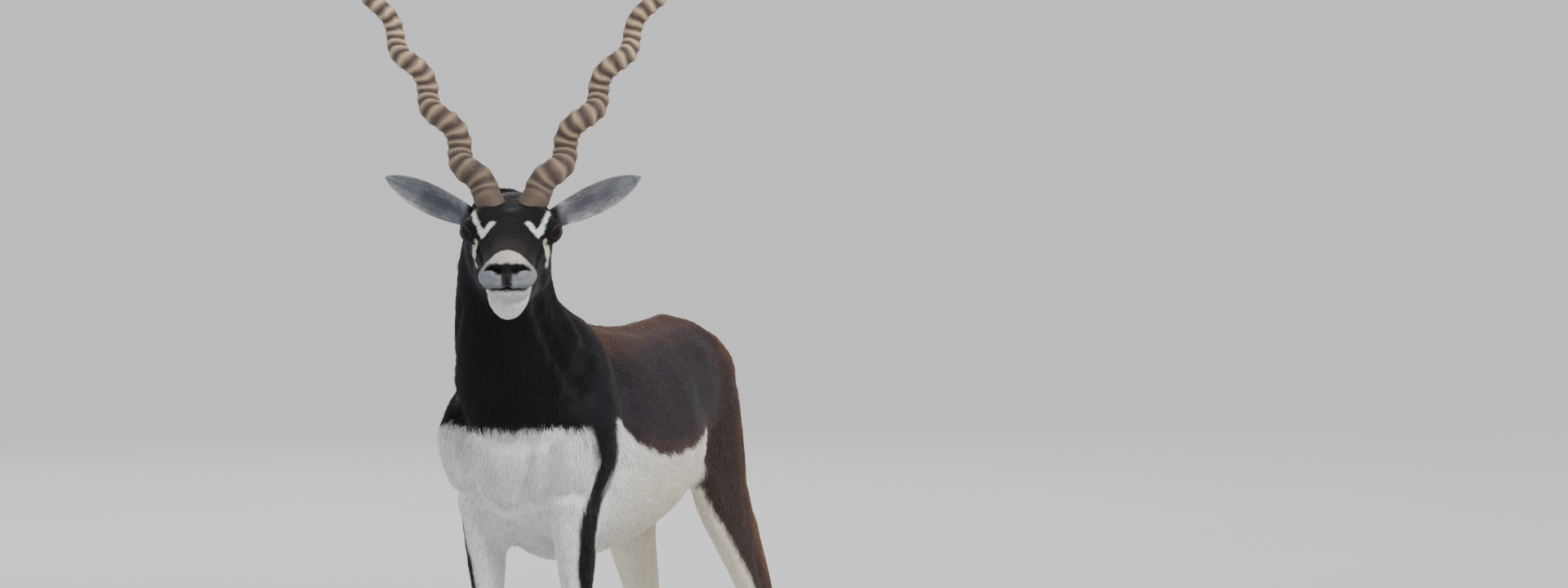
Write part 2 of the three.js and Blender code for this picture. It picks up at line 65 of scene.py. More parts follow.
# back, top, bottom, half width, and how much wider the upper half is
TRUNK = [
    [-17.0, 79.6, 77.0, 1.8, 0], [-16.4, 81.6, 74.8, 4.4, 0], [-14.4, 85.0, 71.0, 7.6, 0],
    [-11.0, 90.6, 66.8, 9.4, 0.02],
    [-6.5, 95.6, 63.4, 10.4, 0.05], [0.0, 99.2, 60.4, 11.2, 0.08], [7.8, 100.0, 58.6, 12.4, 0.08],
    [18.3, 98.4, 58.2, 14.2, 0.03],
    [31.4, 96.8, 59.2, 15.2, -0.02], [44.4, 96.2, 61.8, 14.6, -0.04], [56.2, 96.6, 66.6, 12.4, -0.02],
    [65.4, 96.8, 70.4, 10.6, 0.02],
    [73.2, 95.4, 72.6, 9.4, 0.05], [79.6, 91.6, 74.2, 7.6, 0.05], [83.2, 87.6, 76.4, 5.2, 0],
    [84.8, 84.4, 79.0, 2.4, 0],
]
# station, left, back, up, half width, half depth
NECK = [
    [0, 0.0, 6.5, 82.8, 12.4, 15.4], [1, 0.0, -2.8, 88.2, 12.4, 15.0], [2, 0.3, -11.6, 94.2, 10.8, 13.2],
    [3, 1.4, -19.8, 101.2, 8.8, 10.8],
    [4, 3.6, -26.8, 108.8, 7.6, 9.3], [5, 6.2, -32.2, 115.0, 7.0, 8.6], [6, 8.0, -35.2, 118.4, 5.8, 7.2],
]
# height, front, back, inner, outer
FORELEG = [
    [3.3, -8.6, -3.3, 5.9, 9.5], [6.3, -6.8, -2.5, 6.1, 9.3], [8.6, -5.8, -1.2, 5.9, 9.5],
    [10.6, -5.5, -1.1, 6.0, 9.4],
    [13.7, -5.1, -1.8, 6.3, 9.1], [19.6, -5.1, -2.1, 6.4, 9.0], [27.5, -5.4, -2.0, 6.3, 9.1],
    [31.1, -5.9, -1.3, 6.0, 9.4],
    [34.2, -6.4, -0.7, 5.6, 9.8], [37.3, -6.5, -0.8, 5.5, 9.8], [40.5, -6.1, -0.8, 5.6, 9.6],
    [45.8, -6.4, 0.0, 5.5, 9.7],
    [51.6, -7.1, 0.8, 5.4, 9.9], [55.4, -8.4, 1.4, 5.3, 10.1], [59.2, -10.0, 2.4, 5.1, 10.4],
    [63.6, -11.8, 3.6, 4.8, 10.6],
    [68.0, -13.1, 4.8, 4.5, 11.0], [71.0, -14.0, 6.0, 4.3, 11.8], [74.0, -14.7, 7.4, 4.1, 13.2],
    [77.8, -15.3, 8.6, 4.0, 14.2],
    [82.0, -15.3, 9.2, 3.9, 14.4], [86.0, -13.6, 9.4, 3.6, 13.6], [90.6, -9.6, 8.8, 3.1, 11.8],
    [94.6, -5.0, 7.2, 2.7, 9.2],
]
HINDLEG = [
    [3.3, 84.6, 90.0, 8.8, 12.4], [6.3, 86.6, 91.0, 9.0, 12.2], [8.6, 87.8, 92.4, 8.9, 12.4],
    [10.6, 88.2, 92.7, 9.0, 12.3],
    [13.7, 88.7, 92.1, 9.3, 12.0], [19.6, 88.9, 92.1, 9.3, 11.9], [26.8, 89.1, 92.7, 9.1, 12.0],
    [31.1, 88.8, 93.8, 8.8, 12.3],
    [34.2, 88.0, 95.0, 8.5, 12.6], [37.3, 86.0, 94.8, 8.5, 12.7], [41.2, 82.2, 93.4, 8.4, 12.8],
    [45.1, 78.0, 92.2, 8.1, 13.0],
    [49.7, 72.8, 90.0, 7.5, 13.0], [54.2, 67.6, 87.6, 6.8, 12.9], [58.0, 63.4, 86.2, 6.1, 12.7],
    [62.0, 60.2, 85.0, 5.2, 12.4],
    [66.3, 58.2, 84.0, 4.4, 12.0], [70.7, 57.5, 83.5, 3.8, 11.9], [75.8, 57.6, 83.0, 3.4, 11.7],
    [82.4, 58.6, 81.6, 3.1, 11.2],
    [88.9, 61.0, 79.4, 2.9, 10.0], [93.4, 64.4, 74.8, 2.6, 7.4],
]
LEG_TABLES = {"fore": FORELEG, "hind": HINDLEG}
# station, left, back, up, half width, half depth
TAIL = [
    [0, 0, 80.4, 90.6, 2.1, 1.9], [1, 0, 84.0, 88.8, 2.3, 1.8], [2, 0, 86.0, 84.0, 2.4, 1.6],
    [3, 0, 86.4, 77.8, 2.2, 1.3],
    [4, 0, 86.3, 71.8, 1.6, 1.0], [5, 0, 86.1, 67.4, 0.8, 0.6], [6, 0, 86.0, 65.2, 0.25, 0.25],
]
# Eggs of flesh under the trunk: radii in metres, and the middle as left, back and up
UNDERSIDE = {
    "sheath": ((0.014, 0.056, 0.014), (0, 53, 64.4)),
    "groin": ((0.040, 0.062, 0.034), (0, 60.5, 69.0)),
    "left web of the flank": ((0.026, 0.040, 0.030), (7.0, 57.5, 70.2)),
    "right web of the flank": ((0.026, 0.040, 0.030), (-7.0, 57.5, 70.2)),
    "scrotum": ((0.018, 0.022, 0.030), (0, 76, 70.5)),
}
# forward, top, bottom, half width, and how much wider the upper half is, in hundredths of the head
SKULL = [
    [-5, -10, -30, 9, 0], [0, -3.6, -38.5, 15.4, 0], [8, 0, -44.5, 18.2, 0], [19, 1.4, -47.5, 19.8, 0.08],
    [30, 1.2, -46, 19.8, 0.16],
    [40, 0, -41, 18.6, 0.18], [50, -2.4, -36, 16.2, 0.1], [60, -4.4, -31.5, 13.2, 0],
    [70, -5.8, -28.5, 11.6, -0.05],
    [80, -6.6, -26.6, 11.2, -0.1], [87, -7.2, -26, 11.8, -0.16], [93, -8.0, -25.4, 11.6, -0.18],
    [97.2, -9.8, -23.8, 9.8, -0.16],
    [99.6, -13.2, -21, 5.4, 0], [100.6, -15.6, -18.8, 2, 0],
]
JAW = [
    [22, -30, -47.5, 12, 0.1], [34, -28, -48.5, 13.6, 0.1], [46, -25, -46.5, 12.8, 0.12],
    [58, -23, -43, 11.4, 0.14],
    [70, -22, -40.5, 10.4, 0.16], [80, -22, -39.4, 10, 0.2], [87, -22, -38, 9.4, 0.22],
    [92, -22.5, -34.5, 7.6, 0.2], [95, -24, -30, 4.4, 0.1],
]
# share of the ear's length, half width and half depth in millimetres
EAR = [
    [0, 10.5, 10.5], [0.12, 12.4, 11.5], [0.3, 16.2, 10], [0.5, 18.4, 7.8], [0.7, 16.8, 5.4],
    [0.85, 11.8, 3.6], [0.95, 5.8, 2.2], [1, 1.2, 1.0],
]
EAR_ROOT, EAR_ALONG, EAR_FACING = (15.0, 15.5, -14.5), (0.9, 0.22, 0.385), (0.28, -1, 0.12)
EYE_AT, EYE_RADIUS = (18.0, 40.0, -10.6), 0.0145
GAZE, LIDS_ALONG = (0.81, -0.57, 0.1), (0.45, 0.86, 0.16)
# Eggs on each side of the skull: radii in metres, the middle as left, forward and up, and the turn about Z
SKULL_EGGS = {
    "brow": ((0.020, 0.034, 0.011), (12, 35, -5.8), -0.2),
    "cheek": ((0.014, 0.036, 0.027), (13.4, 26, -33), 0.0),
    "upper lip": ((0.009, 0.028, 0.010), (9.7, 86, -17), 0.0),
    "lower lip": ((0.008, 0.025, 0.009), (6.8, 81, -26), 0.0),
    "lids": ((EYE_RADIUS + 0.0022,) * 3, EYE_AT, 0.0),
}
# share of the horn's length, radius in millimetres
HORN = [
    [-0.06, 15], [0, 16.2], [0.06, 15.6], [0.14, 13.9], [0.3, 12.4], [0.45, 10.9], [0.6, 9.1], [0.75, 7.1],
    [0.88, 4.9], [0.96, 2.9], [1, 1.1],
]
HORN_AT, HORN_LEAN = (11.4, 24.5, 0.8), (0.482, 0.529, 0.7)
HORN_PITCH, HORN_PHASE, HORN_SWING, HORN_RINGED = 0.079, 2.35, 0.0064, 0.8


# Arithmetic
def step(low, high, value):
    """0 below low, 1 above high, and 3t^2 - 2t^3 between, with t the share of the way."""
    t = np.clip((np.asarray(value, float) - low) / (high - low), 0, 1)
    return t * t * (3 - 2 * t)


def unit(vectors):
    """Each vector divided by its own length."""
    return vectors / np.maximum(np.linalg.norm(vectors, axis=-1, keepdims=True), 1e-12)


def between(first, second, share):
    """The first turned into the second by a share of 0 to 1."""
    return first * (1 - share) + second * share


def blend(first, second, share):
    """The same for colours or headings, point by point."""
    return between(first, second, share[:, None])


def sided(place, side):
    """A place or heading given for the left, kept for side 1 and mirrored for side -1."""
    return np.array(place, float) * [side, 1, 1]


def read(rows, at):
    """Every column of a table at any place: a cubic between two rows, its slope at a row taken from the
    rows on both sides."""
    rows, at = np.array(rows, float), np.asarray(at, float)
    places, columns, count = rows[:, 0], rows[:, 1:], len(rows)
    before, after = np.maximum(np.arange(count) - 1, 0), np.minimum(np.arange(count) + 1, count - 1)
    slopes = (columns[after] - columns[before]) / (places[after] - places[before])[:, None]
    i = np.clip(np.searchsorted(places, at, side="left") - 1, 0, count - 2)
    span = (places[i + 1] - places[i])[..., None]
    t = np.clip((at[..., None] - places[i][..., None]) / span, 0, 1)
    t2, t3 = t * t, t * t * t
    ends = columns[i] * (2 * t3 - 3 * t2 + 1) + columns[i + 1] * (3 * t2 - 2 * t3)
    return ends + span * ((t3 - 2 * t2 + t) * slopes[i] + (t3 - t2) * slopes[i + 1])


def curve(rows, at):
    """The one value of a table of two columns, at any place."""
    return read(rows, at)[..., 0]


def wander(points, size, seed, waves=7):
    """Smooth random value from about -1 to 1 in space: a sum of sines of random heading, each about one
    size long."""
    draw = np.random.default_rng(seed)
    headings = (
        unit(draw.normal(size=(waves, 3))) * (2 * math.pi / size) * draw.uniform(0.6, 1.5, (waves, 1))
    )
    return np.sin(points @ headings.T + draw.uniform(0, 2 * math.pi, waves)).sum(1) / math.sqrt(waves) / 1.2


def colour(*bytes_):
    """Linear light for a colour given as red, green and blue bytes."""
    share = np.array(bytes_, float) / 255
    return np.where(share <= 0.04045, share / 12.92, ((share + 0.055) / 1.055) ** 2.4)


def turned(points, about_x=0.0, about_z=0.0):
    """Points turned first about X and then about Z."""
    x, y, z = np.moveaxis(np.asarray(points, float), -1, 0)
    y, z = y * math.cos(about_x) - z * math.sin(about_x), y * math.sin(about_x) + z * math.cos(about_x)
    x, y = x * math.cos(about_z) - y * math.sin(about_z), x * math.sin(about_z) + y * math.cos(about_z)
    return np.stack([x, y, z], -1)


def head_to_body(points):
    """Points of the head's own space, in metres from the poll, brought into the body's space."""
    return turned(points, HEAD_PITCH, HEAD_YAW) + POLL


def body_to_head(points):
    """The body's space brought into the head's own as left, forward and up, in hundredths of the head."""
    x, y, z = np.moveaxis(np.asarray(points, float) - POLL, -1, 0)
    c, s = math.cos(HEAD_YAW), math.sin(HEAD_YAW)
    x, y = x * c + y * s, -x * s + y * c
    c, s = math.cos(HEAD_PITCH), math.sin(HEAD_PITCH)
    y, z = y * c + z * s, -y * s + z * c
    return np.stack([x, -y, z], -1) / HEAD_PERCENT


def on_head(place, side=1):
    """A place in the head's own space, from hundredths of the head, on one side."""
    left, forward, up = sided(place, side)
    return np.array([left, -forward, up]) * HEAD_PERCENT


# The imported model's origin is under the middle of its box. The tables' origin is under the withers.
eye_low, eye_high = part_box("eye_left")
MIDDLE = head_to_body(on_head(EYE_AT)) - (np.array(eye_low) + np.array(eye_high)) / 2
MIDDLE[2] = 0.0


# Surfaces
def outline(angles, power, egg=0.0):
    """A rounded ring: cosine and sine each to the power 2/power with its sign, the cosine widened by egg
    times the sine."""
    c, s = np.cos(angles), np.sin(angles)
    wide = np.sign(c) * np.abs(c) ** (2 / power) * (1 + np.asarray(egg) * s)
    return wide, np.sign(s) * np.abs(s) ** (2 / power)


def circle(count):
    """Angles once round a ring."""
    return np.arange(count) * (2 * math.pi / count)


def squares(a, b, c, d):
    """Two triangles for each four-cornered face, its corners given in order."""
    return np.stack([np.stack([a, b, c], -1), np.stack([a, c, d], -1)]).reshape(-1, 3)


def closed(grid):
    """Points and triangles of rings (rings, sides, 3) joined one to the next, with a fan to the middle of
    each end."""
    rings, sides = grid.shape[:2]
    points = np.concatenate([grid.reshape(-1, 3), grid[0].mean(0)[None], grid[-1].mean(0)[None]])
    a = np.arange((rings - 1) * sides).reshape(rings - 1, sides)
    b = np.roll(a, -1, axis=1)
    first, last = np.arange(sides), np.arange(sides) + (rings - 1) * sides
    start = np.stack([np.full(sides, rings * sides), np.roll(first, -1), first], -1)
    end = np.stack([np.full(sides, rings * sides + 1), last, np.roll(last, -1)], -1)
    return points, outward(points, np.concatenate([squares(a, b, b + sides, a + sides), start, end]))


def ringed(values, ends=(0, 0)):
    """Values at a grid's points, followed by those at the middles of its two ends."""
    return np.concatenate([values.ravel(), ends])


def outward(points, triangles):
    """The same triangles, turned over if the volume they close comes out negative."""
    a, b, c = points[triangles[:, 0]], points[triangles[:, 1]], points[triangles[:, 2]]
    return triangles if np.einsum("ij,ij->i", a, np.cross(b, c)).sum() > 0 else triangles[:, ::-1]


def together(shapes):
    """Several (points, triangles) as one."""
    starts = np.cumsum([0] + [len(p) for p, _ in shapes[:-1]])
    return np.concatenate([p for p, _ in shapes]), np.concatenate(
        [t + s for (_, t), s in zip(shapes, starts)]
    )


def ball(radii, at, turn=0.0, sides=28):
    """An egg: rings of cos(latitude) along sin(latitude), times three radii, turned about Z by turn."""
    latitude = np.linspace(-1.45, 1.45, 18)[:, None]
    angles = circle(sides)[None, :]
    grid = np.stack(
        [
            np.cos(latitude) * np.cos(angles), np.cos(latitude) * np.sin(angles),
            np.sin(latitude) + 0 * angles,
        ],
        -1,
    )
    points, triangles = closed(grid * np.array(radii))
    return turned(points, 0, turn) + np.array(at), triangles


def upright_loft(rows, count, sides, power, way):
    """Upright rings along a table, each between its top and bottom at its half width, in hundredths. Way
    is 1 or -1 along Y."""
    along = np.linspace(rows[0][0], rows[-1][0], count)
    top, bottom, half, egg = read(rows, along).T[:, :, None]
    wide, tall = outline(circle(sides)[None, :], power, egg)
    return np.stack(
        [half * wide, way * along[:, None] + 0 * wide, (top + bottom) / 2 + (top - bottom) / 2 * tall], -1,
    )


def tube(rows, stations, sides, power):
    """Rings square to a path. Each table row gives the path's point, and the ring's half width and half
    depth."""
    values = read(rows, stations)
    centre, half, depth = values[:, :3], values[:, 3], values[:, 4]
    path = unit(np.gradient(centre, axis=0))
    across = unit(np.cross(path, [0, 0, 1.0]))
    up = np.cross(across, path)
    wide, tall = outline(circle(sides)[None, :], power)
    grid = (
        centre[:, None] + across[:, None] * (half[:, None] * wide)[..., None]
        + up[:, None] * (depth[:, None] * tall)[..., None]
    )
    return closed(grid * PERCENT)


def limb_middle(leg, height):
    """Where a leg's ring at a height has its middle, and its half width and half length, in hundredths."""
    end, side = leg.split("_")
    front, back, inner, outer = read(LEG_TABLES[end], height).T
    shift = STRIDE[leg] * np.maximum(0, 1 - np.asarray(height) / HIP)
    return (
        SIDES[side] * (inner + outer) / 2, (front + back) / 2
        + shift, (outer - inner) / 2, (back - front) / 2
    )


def limb(leg):
    """Level rings up a leg, from its coronet to inside the body."""
    rows = LEG_TABLES[leg.split("_")[0]]
    height = np.linspace(rows[0][0], rows[-1][0], 170)
    x, y, wide, long = (v[:, None] for v in limb_middle(leg, height))
    across, along = outline(circle(40)[None, :], 2.15)
    grid = np.stack([x + wide * across, y + long * along, height[:, None] + 0 * across], -1)
    return closed(grid * PERCENT)


def skull():
    """The skull and jaw, with brows, cheeks, lips and lids as eggs on each side."""
    lofts = (upright_loft(SKULL, 90, 56, 2.2, -1), upright_loft(JAW, 60, 56, 2.2, -1))
    shapes = [closed(grid * HEAD_PERCENT) for grid in lofts]
    for side in (-1, 1):
        shapes += [ball(radii, on_head(at, side), side * turn) for radii, at, turn in SKULL_EGGS.values()]
    points, triangles = together(shapes)
    return head_to_body(points), triangles


def foot(leg, toe):
    """A foot's table, the way out from the middle of the leg to a toe, and that middle in millimetres."""
    end, side_name = leg.split("_")
    side, rows = SIDES[side_name], LEG_TABLES[end]
    return rows, side if toe == "outer" else -side, side * (rows[0][3] + rows[0][4]) / 2 * PERCENT_MM


def spur_place(leg, toe):
    """Where a dewclaw sits behind the fetlock."""
    rows, out, middle = foot(leg, toe)
    back = read(rows, np.array([8.9]))[0][1]
    return np.array([middle + out * 8.5, (back + STRIDE[leg] * 0.9) * PERCENT_MM, 8.3 * PERCENT_MM]) * 0.001


def body_blank():
    """Every form of flesh but the ears, overlapping, as the remesh takes them."""
    shapes = [closed(upright_loft(TRUNK, 150, 72, 2.15, 1) * PERCENT)]
    shapes += [
        tube(NECK, np.linspace(0, 6, 90), 72, 2.1), tube(TAIL, np.linspace(0, 6, 60), 28, 2.0), skull(),
    ]
    shapes += [limb(leg) for leg in STRIDE]
    for leg in STRIDE:
        for toe in TOES:
            shapes.append(ball((0.0062, 0.0075, 0.0095), spur_place(leg, toe) - [0, 0.0046, -0.001]))
    shapes += [ball(radii, np.array(at) * PERCENT) for radii, at in UNDERSIDE.values()]
    return together(shapes)


def make(name, points, triangles):
    """An object whose mesh holds these points and triangles, at the origin."""
    mesh = bpy.data.meshes.new(name)
    mesh.vertices.add(len(points))
    mesh.vertices.foreach_set("co", np.ascontiguousarray(points, np.float32).ravel())
    mesh.loops.add(triangles.size)
    mesh.loops.foreach_set("vertex_index", np.ascontiguousarray(triangles, np.int32).ravel())
    mesh.polygons.add(len(triangles))
    mesh.polygons.foreach_set("loop_start", np.arange(0, triangles.size, 3, dtype=np.int32))
    mesh.update(calc_edges=True)
    mesh.polygons.foreach_set("use_smooth", np.ones(len(triangles), bool))
    thing = bpy.data.objects.new(name, mesh)
    bpy.context.scene.collection.objects.link(thing)
    return thing


def one_surface(points, triangles, voxel):
    """Overlapping forms made one closed surface by a voxel remesh, as points and triangles."""
    blank = make("blank", points, triangles)
    remesh = blank.modifiers.new("one surface", "REMESH")
    remesh.mode, remesh.voxel_size, remesh.adaptivity = "VOXEL", voxel, 0.0
    depsgraph = bpy.context.evaluated_depsgraph_get()
    mesh = bpy.data.meshes.new_from_object(blank.evaluated_get(depsgraph))
    mesh.calc_loop_triangles()
    out = np.empty(len(mesh.vertices) * 3, np.float32)
    mesh.vertices.foreach_get("co", out)
    corners = np.empty(len(mesh.loop_triangles) * 3, np.int32)
    mesh.loop_triangles.foreach_get("vertices", corners)
    bpy.data.objects.remove(blank)
    bpy.data.meshes.remove(mesh)
    return out.reshape(-1, 3).astype(float), corners.reshape(-1, 3)


def edges_of(triangles):
    """Each edge once, and for every triangle the numbers of its three edges."""
    ends = np.sort(triangles[:, [0, 1, 1, 2, 2, 0]].reshape(-1, 2), axis=1)
    keys, which = np.unique(
        ends[:, 0].astype(np.int64) * (triangles.max() + 1) + ends[:, 1], return_inverse=True,
    )
    return np.stack([keys // (triangles.max() + 1), keys % (triangles.max() + 1)], -1), which.reshape(-1, 3)


def refine(points, triangles, chosen):
    """Cuts each chosen triangle into four at the middles of its edges, and its neighbours into two or
    three to match."""
    edges, of_triangle = edges_of(triangles)
    cut = np.zeros(len(edges), bool)
    cut[of_triangle[chosen].ravel()] = True
    middle = np.full(len(edges), -1)
    middle[cut] = np.arange(cut.sum()) + len(points)
    points = np.concatenate([points, points[edges[cut]].mean(1)])
    m = middle[of_triangle]
    count = (m >= 0).sum(1)
    made = [triangles[count == 0]]
    t, k = triangles[count == 3], m[count == 3]
    made += [np.stack([t[:, 0], k[:, 0], k[:, 2]], -1), np.stack([k[:, 0], t[:, 1], k[:, 1]], -1)]
    made += [np.stack([k[:, 2], k[:, 1], t[:, 2]], -1), k]
    for turn in range(3):
        t, k = np.roll(triangles, -turn, axis=1), np.roll(m, -turn, axis=1)
        one = (count == 1) & (k[:, 0] >= 0)
        made += [
            np.stack([t[one, 0], k[one, 0], t[one, 2]], -1),
            np.stack([k[one, 0], t[one, 1], t[one, 2]], -1),
        ]
        two = (count == 2) & (k[:, 2] < 0)
        made += [
            np.stack([k[two, 0], t[two, 1], k[two, 1]], -1),
            np.stack([t[two, 0], k[two, 0], k[two, 1]], -1),
        ]
        made.append(np.stack([t[two, 0], k[two, 1], t[two, 2]], -1))
    return points, np.concatenate(made)


def gathered(numbers, values, count):
    """Rows of values added up at numbered places."""
    return np.stack([np.bincount(numbers, column, count) for column in values.T], -1)


def ease(points, triangles, amount, rounds):
    """Moves each point towards the mean of its neighbours and back a little further, round by round, so
    bulk is kept."""
    (start, end), count = edges_of(triangles)[0].T, len(points)
    degree = np.maximum(np.bincount(np.concatenate([start, end]), minlength=count), 1)[:, None]
    amount = np.broadcast_to(np.asarray(amount, float).reshape(-1, 1), (count, 1))
    for sign in (1.0, -1.02) * rounds:
        total = gathered(start, points[end], count) + gathered(end, points[start], count)
        points = points + sign * 0.62 * amount * (total / degree - points)
    return points


def normals_of(points, triangles):
    """The direction out of the surface at each point, from the triangles round it by area."""
    a, b, c = (points[triangles[:, k]] for k in range(3))
    return unit(gathered(triangles.ravel(), np.repeat(np.cross(b - a, c - a), 3, axis=0), len(points)))


def from_line(points, line):
    """Distance of each point from a line of straight lengths."""
    line = np.array(line, float)
    best = np.full(len(points), 1e9)
    for start, end in zip(line[:-1], line[1:]):
        along = end - start
        t = np.clip((points - start) @ along / max(along @ along, 1e-9), 0, 1)
        best = np.minimum(best, np.linalg.norm(points - start - t[:, None] * along, axis=1))
    return best


# Where a point is on the animal
NECK_PATH = read(NECK, np.linspace(0, 6, 60))
TAIL_PATH = read(TAIL, np.linspace(0, 6, 40))


def places(points):
    """How far each point belongs to head, neck, tail and each leg, 0 to 1, with its angle round each leg
    from outward."""
    body = points / PERCENT
    x, y, z = body.T
    head = body_to_head(points)
    ring = (head[:, 0] / 21) ** 2 + ((head[:, 2] + 21) / 29) ** 2
    nearest = np.argmin(((body[:, None, :] - NECK_PATH[None, ::3, :3]) ** 2).sum(-1), axis=1) * 3
    found = {"head": step(1.7, 1.2, ring) * step(-9, -2, head[:, 1]), "station": nearest / 59 * 6}
    found["neck"] = (
        step(1.4, 2.6, found["station"]) * step(4, -6, y) * step(80, 92, z) * (1 - found["head"])
    )
    found["tail"] = step(4.2, 3.0, from_line(body, TAIL_PATH[::4, :3])) * step(83.6, 85.0, y)
    for leg in STRIDE:
        side = SIDES[leg.split("_")[1]]
        cx, cy, wide, long = limb_middle(leg, np.clip(z, 3.3, 93))
        across, along = (x - cx) / wide * side, (y - cy) / long
        near = step(1.75, 1.25, np.hypot(across, along)) * (x * side > -0.2)
        found[leg] = near * step(84, 74, z)
        found[leg + "_angle"] = np.degrees(np.arctan2(along, across))
        found[leg + "_near"] = near
    found["body"], found["in_head"] = body, head
    return found


# The modelling of the flesh
# Each line: points as left, back and up in hundredths, its half breadth, and how far it stands out (or in,
# below nothing)
MUSCLES = {
    "shoulder blade": ([(5.5, 4, 98), (9.5, -1, 91), (13, -6.5, 83)], 3.4, 0.55),
    "behind the blade": ([(9.5, 10.5, 95), (13.4, 10.5, 84), (13.2, 9.5, 75)], 2.6, -0.75),
    "before the blade": ([(6.6, -7, 97.5), (9.6, -12.4, 90), (9.6, -15.6, 84)], 2.1, -1.0),
    "point of the shoulder": ([(11.0, -12.6, 81), (10.4, -13.6, 78)], 3.2, 0.65),
    "upper arm": ([(13.6, -6, 80), (12.6, 1.5, 73.5)], 3.2, 0.5),
    "arm groove": ([(12.6, -7.5, 75), (10.8, -3.0, 69.5)], 1.6, -0.6),
    "elbow": ([(10.2, 4.2, 68), (9.6, 4.4, 65.6)], 2.0, 0.6),
    "breast": ([(6.6, -15.0, 80), (6.0, -13.6, 73)], 3.4, 0.5),
    "fold before the arm": (
        [(4.5, -12.7, 70.8), (7.7, -13.7, 72.3), (10.1, -12.6, 72.5), (11.6, -8.8, 71.1)], 1.1, -0.6,
    ),
    "forearm": ([(10.4, -4.5, 64), (9.7, -3.5, 56)], 1.8, 0.22),
    "forearm groove": ([(10.3, -0.6, 64), (9.8, -1.2, 50)], 0.9, -0.3),
    "knee": ([(8.6, -6.6, 36.6), (7.0, -6.6, 36.6)], 1.4, 0.18),
    "fore sinew": ([(9.2, -2.7, 31), (9.1, -3.0, 14)], 0.62, -0.3),
    "fore sinew inside": ([(6.1, -2.7, 31), (6.3, -3.0, 14)], 0.62, -0.3),
    "flank hollow": ([(13.2, 47, 84), (12.4, 52, 78)], 5.0, -0.8),
    "last rib": ([(13.6, 34, 92), (15.6, 37.5, 80), (14.2, 36, 68)], 2.4, 0.25),
    "hip bone": ([(9.8, 55.5, 92.6), (9.8, 57.5, 91.4)], 2.4, 0.7),
    "over the hip": ([(7.6, 64, 95.2), (8.6, 70, 91)], 3.0, -0.35),
    "seat bone": ([(5.2, 81.8, 86.6), (5.6, 82.6, 84.4)], 2.2, 0.5),
    "haunch": ([(11.9, 66, 82), (12.2, 73, 70)], 5.4, 0.5),
    "haunch groove": ([(10.4, 77.5, 84), (12.0, 80, 71), (12.2, 82.5, 61)], 1.7, -0.5),
    "stifle": ([(11.6, 60.2, 68), (11.9, 61.6, 64)], 2.6, 0.6),
    "fold of the flank": ([(12.6, 52.5, 73.5), (11.4, 56.8, 69.4)], 2.0, 0.6),
    "leg groove": ([(12.8, 79.5, 53), (12.8, 84.6, 46), (12.5, 89.4, 40)], 1.3, -0.7),
    "leg groove inside": ([(6.8, 79.5, 53), (7.8, 84.6, 46), (8.5, 89.4, 40)], 1.3, -0.6),
    "hind sinew": ([(12.1, 91.2, 30), (12.0, 91.0, 14)], 0.62, -0.3),
    "hind sinew inside": ([(9.1, 91.2, 30), (9.3, 91.0, 14)], 0.62, -0.3),
    "hock": ([(12.7, 90.4, 37), (12.6, 89.6, 33.6)], 1.6, 0.25),
    "beside the spine": ([(3.6, 12, 98.6), (3.8, 40, 95.8), (3.4, 62, 96.0)], 1.7, -0.35),
}
MIDLINE = {
    "spine": ([(0, 4, 100.4), (0, 40, 96.8), (0, 66, 97)], 1.3, 0.4),
    "breast bone": ([(-1.7, -17, 83), (-1.7, -16.6, 76), (-1, -12, 67)], 2.4, 0.6),
    "left breast fold": (
        [(4.1, -16.9, 83.5), (3.7, -16.3, 78.5), (3.2, -15.7, 74.5), (2.2, -13.8, 70.9)], 1.2, -0.95,
    ),
    "right breast fold": ([(-7.4, -14.8, 82.5), (-7.1, -15.4, 78.1), (-7.0, -14.0, 72.7)], 1.2, -0.85),
    "brisket fold": (
        [(-8.6, -12.4, 71.2), (-4.2, -12.6, 69.6), (1.9, -13.2, 69.5), (4.5, -12.7, 70.8)], 1.1, -0.6,
    ),
    "croup": ([(0, 72, 96), (0, 80, 92)], 2.4, -0.2),
}
# The same for the neck, whose places carry the side they are on
NECK_MUSCLES = {
    "left windpipe groove": ([(9.6, -8, 88), (8.4, -19, 97), (9.0, -27.5, 104.5)], 1.7, -0.9),
    "right windpipe groove": ([(-9.6, -8, 88), (-5.9, -20, 97), (-2.6, -28.5, 104.5)], 1.7, -0.9),
    "left neck strap": ([(10.8, -5, 94), (9.6, -14, 102), (10.2, -24, 111)], 2.2, 0.7),
    "right neck strap": ([(-10.8, -5, 94), (-7.2, -14, 102), (-3.4, -24, 111)], 2.2, 0.7),
    "crest": ([(0, 1, 101.5), (1.5, -10, 106.5), (4.2, -20, 114.5)], 1.8, 0.5),
    "throat": ([(2.0, -26, 92), (4.4, -32, 100), (6.4, -35.5, 106)], 2.4, 0.3),
}
